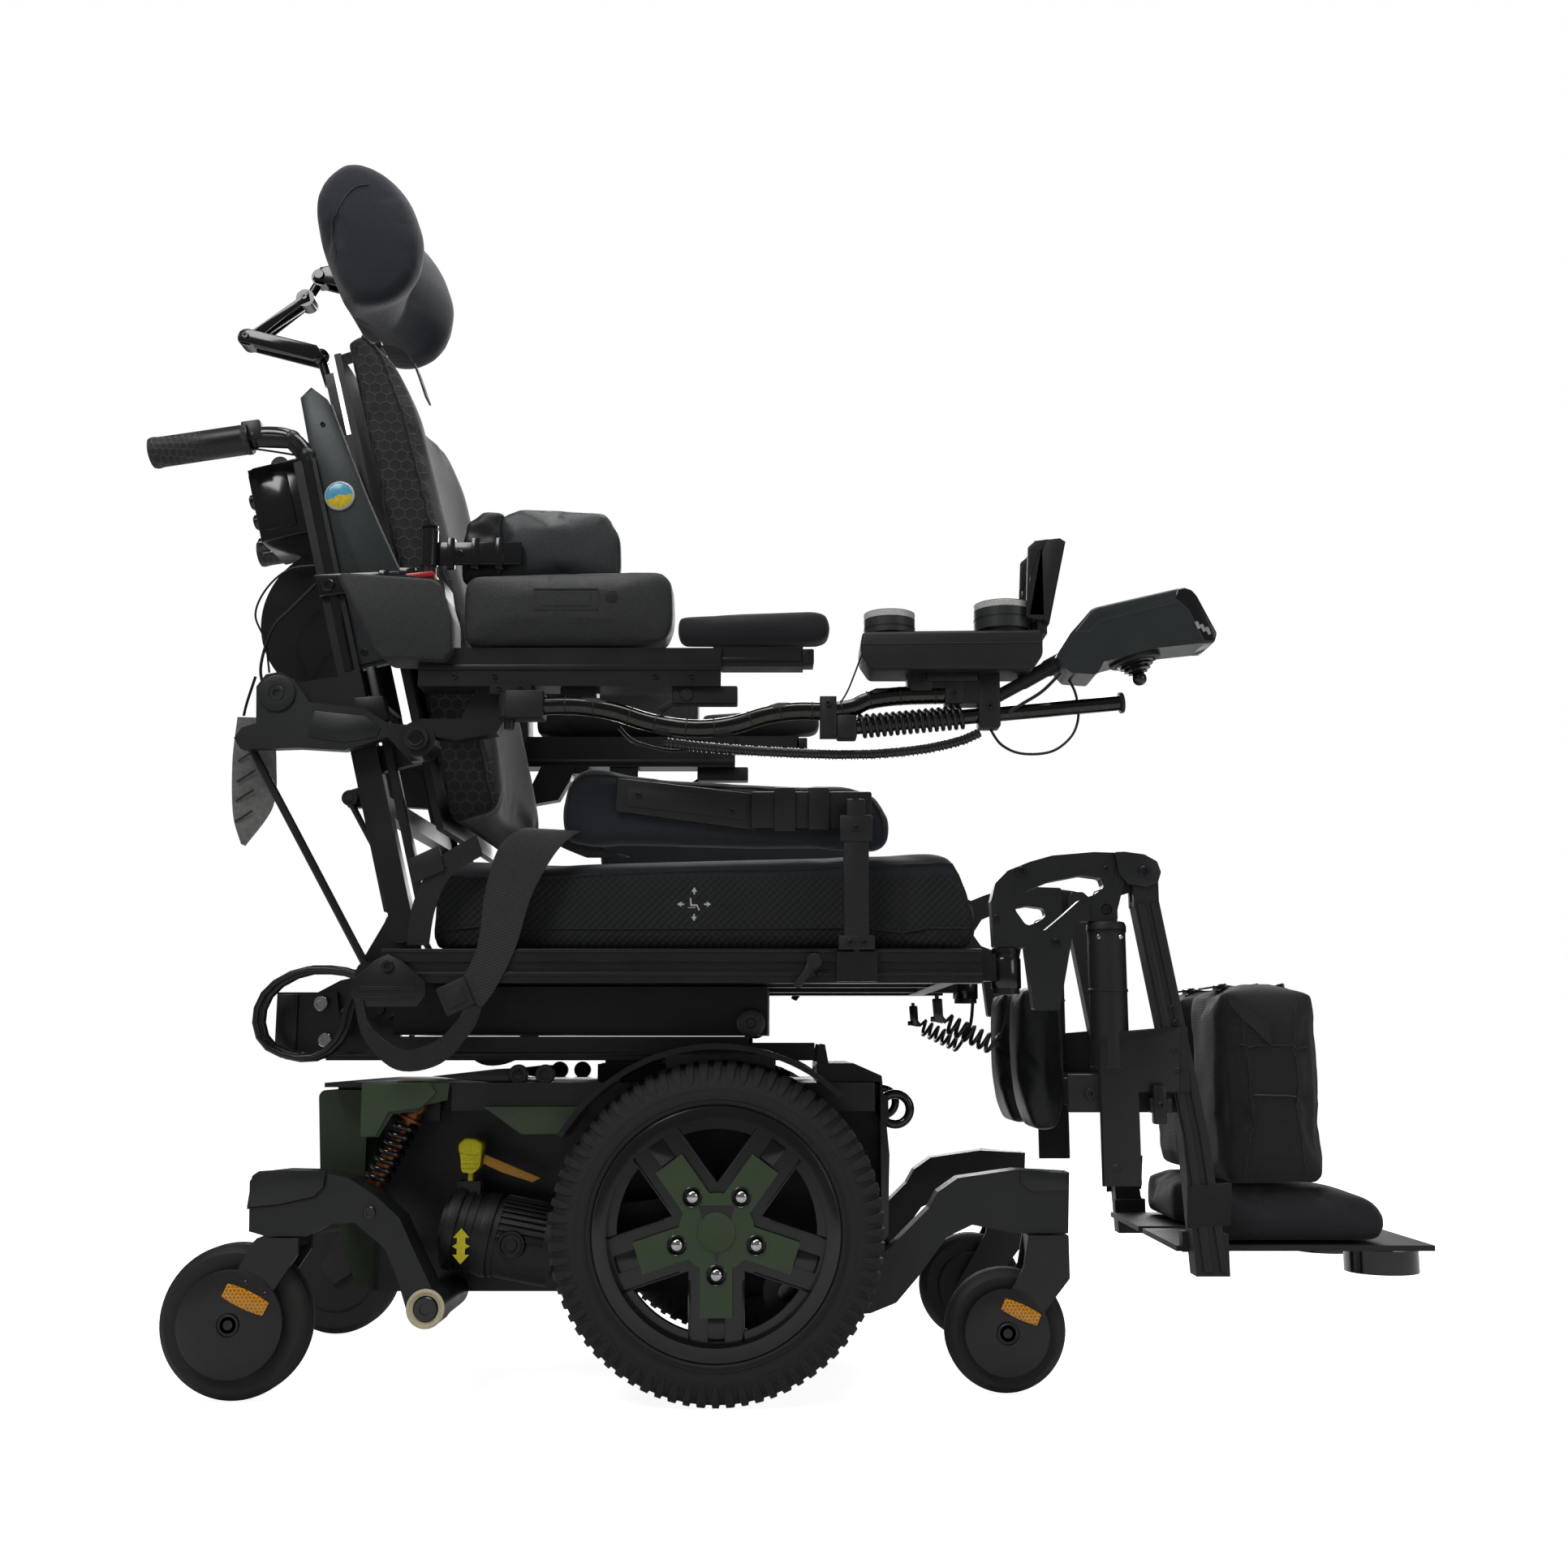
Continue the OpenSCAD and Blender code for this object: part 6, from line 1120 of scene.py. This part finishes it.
    # joystick housing: chamfered lid, gloss nose with slots, collar, bellows and ball
    lid = cut([(382, 811), (404, 839.2), (411, 842), (500, 862.8), (512, 861), (519, 855), (500, 846), (414, 824), (404, 812)], y - 30.0, y + 30.0, 3.5, 3)
    finishPiece(lid, "joystick_lid", joystickShell, "controls", 35)
    nose = cut([(497, 861.5), (505, 863.4), (514, 860.5), (519.4, 854), (539.6, 812), (536, 801), (524, 800.6), (509, 836), (494, 850)], y - 30.6, y + 30.6, 3.0, 3)
    finishPiece(nose, "joystick_nose", glossBlack, "controls", 35)
    slots = [cut([(515 + 5.5 * k, 824 - 3.2 * k), (518.5 + 5.5 * k, 825 - 3.2 * k), (521.5 + 5.5 * k, 817 - 3.2 * k), (518.5 + 5.5 * k, 816 - 3.2 * k)], y - 31.0, y - 30.2, 0) for k in range(3)]
    finishPiece(gather(slots), "joystick_slots", screenGrey, "controls", 35, recalc=False)
    lean = Vector((0.216, 0, -0.976))
    pivot = at(454, y, 796)
    finishPiece(turned([(22.2, 4), (27.4, 4), (28, 5.5), (28, 9.5), (26.4, 10.6), (22.2, 10.6), (22.2, 4)], pivot, lean, 56), "joystick_collar", matPlastic, "controls", 35)
    bellows = turned([(6, 6), (19.5, 9), (20.4, 11), (17.4, 13), (18.6, 15), (14.2, 17), (15.0, 19), (10.4, 21), (10.8, 22.5), (5, 23.5), (0, 23.6)], pivot, lean, 48)
    ball = turned([(0, 22)] + [(7.9 * math.sin(math.radians(a)), 28.5 - 7.9 * math.cos(math.radians(a))) for a in range(20, 181, 16)] + [(0, 36.4)], pivot, lean, 32)
    stick = finishPiece(gather([bellows, ball]), "joystick_bellows", glossBlack, "stick", 45, recalc=False)
    neck = [turned([(0, 0), (7.6, 0), (8.4, 2), (8.2, 30), (9.6, 34), (9.6, 52), (0, 52)], at(330, y, 763), (at(384, y, 793) - at(330, y, 763)).normalized(), 32)]
    finishPiece(gather(neck), "joystick_neck", matPlastic, "controls", 35, recalc=False)
    for label, pts, radius, yy in (("joystick_cable", [(382, 772), (391, 752), (393, 726), (384, 704), (362, 688), (330, 686), (308, 696), (296, 714)], 1.5, -270), ("switch_cable", [(372, 772), (352, 752), (330, 738), (314, 728)], 1.9, -286),
                                   ("arm_cable_loop", [(-20, 694), (-52, 690), (-92, 700), (-110, 716)], 2.4, -262), ("switch_lead_thin", [(156, 792), (148, 770), (140, 750), (132, 736)], 1.0, -300)):
        route = smoothRoute([at(x, yy, z) for x, z in pts], 7)
        piece = wire(label, route, radius, cableBlack, "controls", "cable")
    # under-arm clamp lever and box on the arm rest
    for sideName, sign in (("right", -1), ("left", 1)):
        lever = [turned([(0, 0), (7, 0), (7.6, 1), (7.6, 9), (6.6, 10), (0, 10)], at(-36, sign * 262, 752), (0, sign, 0), 28), cut([(-40, 756), (-32, 752), (-62, 732), (-68, 737)], sign * 262, sign * 268, 1.5), block(-52, 20, sign * 248, sign * 270, 742, 762, 2)]
        finishPiece(gather(lever), "arm_clamp_lever_" + sideName, matPlastic, "armrest_" + sideName, 35, recalc=False)
    print("controls dressed")


makeControls()


# ---- leg rests ----
def makeLegs(sideName, sign):
    outward = Vector((0, sign, 0))
    leg, shin = "leg_" + sideName, "shin_" + sideName
    yOut = 200 + 12
    hanger = [screw(at(x, sign * (yOut - 0.2), z), outward, r, 2.6, 24) for x, z, r in ((335, 563, 6), (372, 484, 5), (306, 511, 4), (429, 566, 3.0))]
    hanger.append(screw(at(429, sign * (yOut - 2.5), 521), outward, 5.6, 2.4, 24))
    hanger += [turned([(15.2, -6), (16.4, -6), (16.8, -5), (16.8, 26), (16, 27.5), (15.2, 27.5), (15.2, -6)], at(317, sign * 200, 440), (0, 0, 1), 36), turned([(15.1, 0), (16.2, 0), (16.2, 3), (15.1, 3), (15.1, 0)], at(317, sign * 200, 472), (0, 0, 1), 36)]
    finishPiece(gather(hanger[:5]), "hanger_screws_" + sideName, boltSteel, leg, 30, recalc=False)
    finishPiece(gather(hanger[5:]), "hinge_barrel_" + sideName, glossBlack, "seat", 35, recalc=False)
    cover = cut([(439, 584.5), (450, 585), (472, 582), (486, 574), (490, 562), (486, 550), (472, 545), (452, 549), (443, 560)], sign * 213.8, sign * 217.8, 1.5, 3)
    finishPiece(cover, "knee_cover_" + sideName, castBlack, shin, 40)
    finishPiece(gather([screw(at(471, sign * 217.6, 562), outward, 6.6, 2.8, 24), screw(at(429, sign * 218.2, 240), outward, 5.4, 2.4, 24), screw(at(496, sign * 218.2, 366), outward, 4.4, 2.2), screw(at(500, sign * 218.2, 344), outward, 4.4, 2.2),
                        screw(at(497, sign * 214.6, 412), outward, 4, 2), screw(at(500, sign * 214.6, 396), outward, 4, 2)]), "leg_screws_" + sideName, boltSteel, shin, 30, recalc=False)
    seam = wire("hanger_seam_" + sideName, [at(x, sign * yOut, z) for x, z in ((437, 584), (440, 572), (438, 556), (430, 545), (416, 540), (412, 530), (412, 510))], 0.8, caseDark, leg, "leg_metal", 1)
    # long tube: raised flanks either side of a groove
    flanks = [cut([(462, 528), (471, 528), (514, 276), (530, 132), (520, 132), (505, 276)], sign * 213.8, sign * 216.2, 0.9), cut([(477, 528), (487, 528), (531, 274), (546, 132), (538, 132), (521, 276)], sign * 213.8, sign * 216.2, 0.9)]
    finishPiece(gather(flanks), "leg_tube_ribs_" + sideName, matPlastic, shin, 35, recalc=False)
    # actuator sleeve: seam, end rings and screws
    sleeve = [turned([(21.1, 0), (21.9, 0.6), (21.9, 3), (21.1, 3.6), (21.1, 0)], at(430, sign * 200, z), (0, 0, 1), 56) for z in (346, 430, 496)]
    sleeve.append(turned([(0, 4), (14, 4), (20, 2), (21.9, -2), (21.9, -9), (21.1, -9.5)], at(430, sign * 200, 505), (0, 0, 1), 56))
    finishPiece(gather(sleeve), "actuator_rings_" + sideName, matPlastic, shin, 35, recalc=False)
    heads = [screw(at(430 + dx, sign * 216, z), (dx / 40, sign, 0), 2.6, 3.0, 14) for dx in (-12, 12) for z in (354, 490)]
    finishPiece(gather(heads), "actuator_screws_" + sideName, brightSteel, shin, 30, recalc=False)
    # bracket plate with a rounded shoulder, clamp block
    plate = cut([(415, 223), (415, 368), (418, 379), (426, 385), (496, 391), (503, 392), (503, 386), (500, 322), (456, 322), (456, 223)], sign * 218, sign * 220, 0.8)
    clampParts = [block(466, 490, sign * 214, sign * 226, 300, 316, 2), block(470, 484, sign * 214, sign * 228, 288, 330, 2), screw(at(477, sign * 228.2, 308), outward, 4, 2)]
    finishPiece(gather([plate, *clampParts]), "leg_bracket_" + sideName, blackPaint, shin, 35, recalc=False)
    calfHold = [block(384, 426, sign * 150, sign * 212, 306, 336, 2.5), block(380, 430, sign * 206, sign * 214, 300, 341, 2), screw(at(404, sign * 214.4, 320), outward, 6, 3)]
    finishPiece(gather(calfHold), "calf_clamp_" + sideName, matPlastic, shin, 35, recalc=False)
    paintPart("leg_frame_" + sideName, glossBlack, lambda x, y, z, n: z < 150.2 and x > 700)
    # pads, bag, straps
    calf = soften(cut([(342, 430), (350, 439), (386, 434), (388, 302), (381, 278), (356, 276), (346, 302)], sign * 43, sign * 138, 10, 4), "calf_pad_" + sideName, [gatheredSkin], 0.005, 0.006, 4.0)
    calf.modifiers.new("smooth", "SUBSURF").levels = 1
    settle(calf, shin, "leg_pad", 0.8, "leg_padding_" + sideName)
    foot = soften(cut([(545, 159), (545, 207), (690, 210), (722, 204), (735, 190), (736, 172), (728, 159)], sign * 21, sign * 169, 11, 4), "foot_pad_" + sideName, [slimFabric], 0.006, 0.006, 4.0, held=lambda p: p.z < 0.1605)
    foot.modifiers.new("smooth", "SUBSURF").levels = 1
    settle(foot, shin, "leg_pad", 0.8)

    def sag(co):
        x, y, z = (co.x + 0.062) * 1000, co.y * 1000, co.z * 1000
        low = max(0.0, (300 - z) / 80)
        return at(x + 1.5 * math.sin(z / 23) * (x > 640) + low * 1.5 * (x > 640), y, z - 2.0 * math.sin((x - 560) / 37) * (z > 400))

    bag = soften(cut([(565, 221), (565, 436), (664, 438), (671, 430), (671, 232), (664, 221)], sign * 24, sign * 166, 7, 3), "foot_bag_" + sideName, [bagCloth], 0.006, 0.006, 4.0, held=lambda p: p.z < 0.223, wrinkle=0.0022, wrinkleSize=0.05, shape=sag)
    for face in bag.data.polygons:
        face.use_smooth = True
    for label, x in (("front", 650), ("rear", 580)):
        edge = [at(x, sign * 190, z) for z in range(226, 435, 16)]
        wire("bag_seam_%s_%s" % (label, sideName), hug(bag, edge, 0.2), 1.1, webbingDark, shin, "leg_pad")
    flapLine = [at(x, sign * 190, 372) for x in range(568, 669, 10)]
    flap = wire("bag_flap_line_" + sideName, hug(bag, flapLine, 0.3), 1.3, webbingDark, shin, "leg_pad")
    pocket = hug(bag, [at(x, sign * 190, 318 - (x - 596) * 0.02) for x in range(584, 655, 8)], 0.6)
    wire("bag_zip_" + sideName, pocket, 1.1, steelGrey, shin, "leg_pad", 1)
    strapRows = [at(x, sign * 190, 430 - 0.9 * (x - 566)) for x in range(566, 660, 10)]
    upper = hug(bag, [p + Vector((0, 0, 0.013)) for p in strapRows], 1.2)
    lower = hug(bag, [p - Vector((0, 0, 0.013)) for p in strapRows], 1.2)
    ribbon("bag_strap_" + sideName, upper[:6], lower[:6], 2.0, webbingDark, shin, 3, 3)
    topA = [at(x, sign * 60, z) for x, z in ((566, 438), (590, 441), (612, 439), (640, 442), (664, 437))]
    topB = [at(x, sign * 88, z) for x, z in ((566, 438), (590, 441), (612, 439), (640, 442), (664, 437))]
    ribbon("bag_handle_" + sideName, topA, topB, 2.2, webbingDark, shin, 5, 3)
    fittings = [block(x, x + 8, sign * 56, sign * 92, 435, 444, 1.8) for x in (584, 622, 652)]
    finishPiece(gather(fittings), "bag_buckles_" + sideName, glossBlack, shin, 35, recalc=False)
    bag.modifiers.new("smooth", "SUBSURF").levels = 1
    settle(bag, shin, "leg_pad", 0.5)
    strap = cut([(503, 178), (550, 182), (553, 226), (505, 222)], sign * 214.5, sign * 217.5, 1.0)
    finishPiece(strap, "ankle_strap_" + sideName, bagCloth, shin, 35)
    # power lead curling from the seat front to the leg rest
    start = at(243, sign * 168, 428)
    route = smoothRoute([start, at(245, sign * 168, 410), at(252, sign * 168, 398)], 5)
    axisA, axisB = at(256, sign * 168, 396), at(306, sign * 168, 372)
    along = (axisB - axisA).normalized()
    upward = along.cross(Vector((0, 1, 0)))
    for k in range(6 * 14 + 1):
        angle = 2 * math.pi * k / 14
        route.append(axisA + (axisB - axisA) * k / 84 + (Vector((0, 1, 0)) * math.sin(angle) - upward * (-math.cos(angle))) * 0.0095)
    route += smoothRoute([route[-1] + Vector((0.004, 0, 0.004)), at(314, sign * 166, 384), at(320, sign * 164, 404), at(322, sign * 160, 428)], 4)
    curly = wire("leg_lead_" + sideName, route, 2.3, cableBlack, "seat", "cable", 2)
    tipParts = [cut([(238, 424), (249, 424), (250, 396), (240, 398)], sign * 163, sign * 173, 1.5), block(236, 244, sign * 164, sign * 172, 398, 404, 1)]
    finishPiece(gather(tipParts), "lead_plug_" + sideName, glossBlack, "seat", 35, recalc=False)


bothSides(makeLegs)
print("leg rests dressed")

# ---- floor and light ----
floorMesh = bmesh.new()
bmesh.ops.create_grid(floorMesh, x_segments=1, y_segments=1, size=30)
bmesh.ops.translate(floorMesh, vec=(0, 0, -0.0005), verts=floorMesh.verts)
floorFinish = makeFinish("paleFloor", (0.7, 0.7, 0.7), 0.85, grain=40, grainHeight=0.005, mottle=0.01, specular=0.0, glow=0.9)
floorTree = floorFinish.node_tree
floorTree.nodes["Principled BSDF"].inputs["Emission Color"].default_value = (1, 1, 1, 1)
floorSeen = floorTree.nodes.new("ShaderNodeLightPath")
floorGlow = floorTree.nodes.new("ShaderNodeMath")
floorGlow.operation = "MULTIPLY"
floorGlow.inputs[1].default_value = 0.92
floorTree.links.new(floorSeen.outputs["Is Camera Ray"], floorGlow.inputs[0])
floorTree.links.new(floorGlow.outputs[0], floorTree.nodes["Principled BSDF"].inputs["Emission Strength"])
floorPiece = finishPiece(floorMesh, "studio_floor", floorFinish, None)
world = bpy.data.worlds.new("paleStudio")
scene.world = world
world.use_nodes = True
tree = world.node_tree
room = tree.nodes["Background"]
room.inputs["Color"].default_value = (0.93, 0.96, 1, 1)
room.inputs["Strength"].default_value = 0.12
backdrop = tree.nodes.new("ShaderNodeBackground")
backdrop.inputs["Color"].default_value = (1, 1, 1, 1)
seen = tree.nodes.new("ShaderNodeLightPath")
chooser = tree.nodes.new("ShaderNodeMixShader")
tree.links.new(seen.outputs["Is Camera Ray"], chooser.inputs[0])
tree.links.new(room.outputs[0], chooser.inputs[1])
tree.links.new(backdrop.outputs[0], chooser.inputs[2])
tree.links.new(chooser.outputs[0], tree.nodes["World Output"].inputs["Surface"])
lamps = [("keyLamp", (-1.7, -2.4, 3.2), 1.4, 38), ("fillLamp", (2.8, -2.4, 1.4), 1.2, 9), ("topLamp", (0.1, -0.3, 3.4), 2.0, 48), ("backLamp", (0.2, 2.8, 2.0), 2.6, 100)]
for name, place, size, power in lamps:
    light = bpy.data.lights.new(name, "AREA")
    light.size = size
    light.energy = power
    lamp = bpy.data.objects.new(name, light)
    lamp.location = place
    lamp.rotation_euler = (Vector((0, 0, 0.7)) - Vector(place)).to_track_quat("-Z", "Y").to_euler()
    scene.collection.objects.link(lamp)
print("light and floor ready")
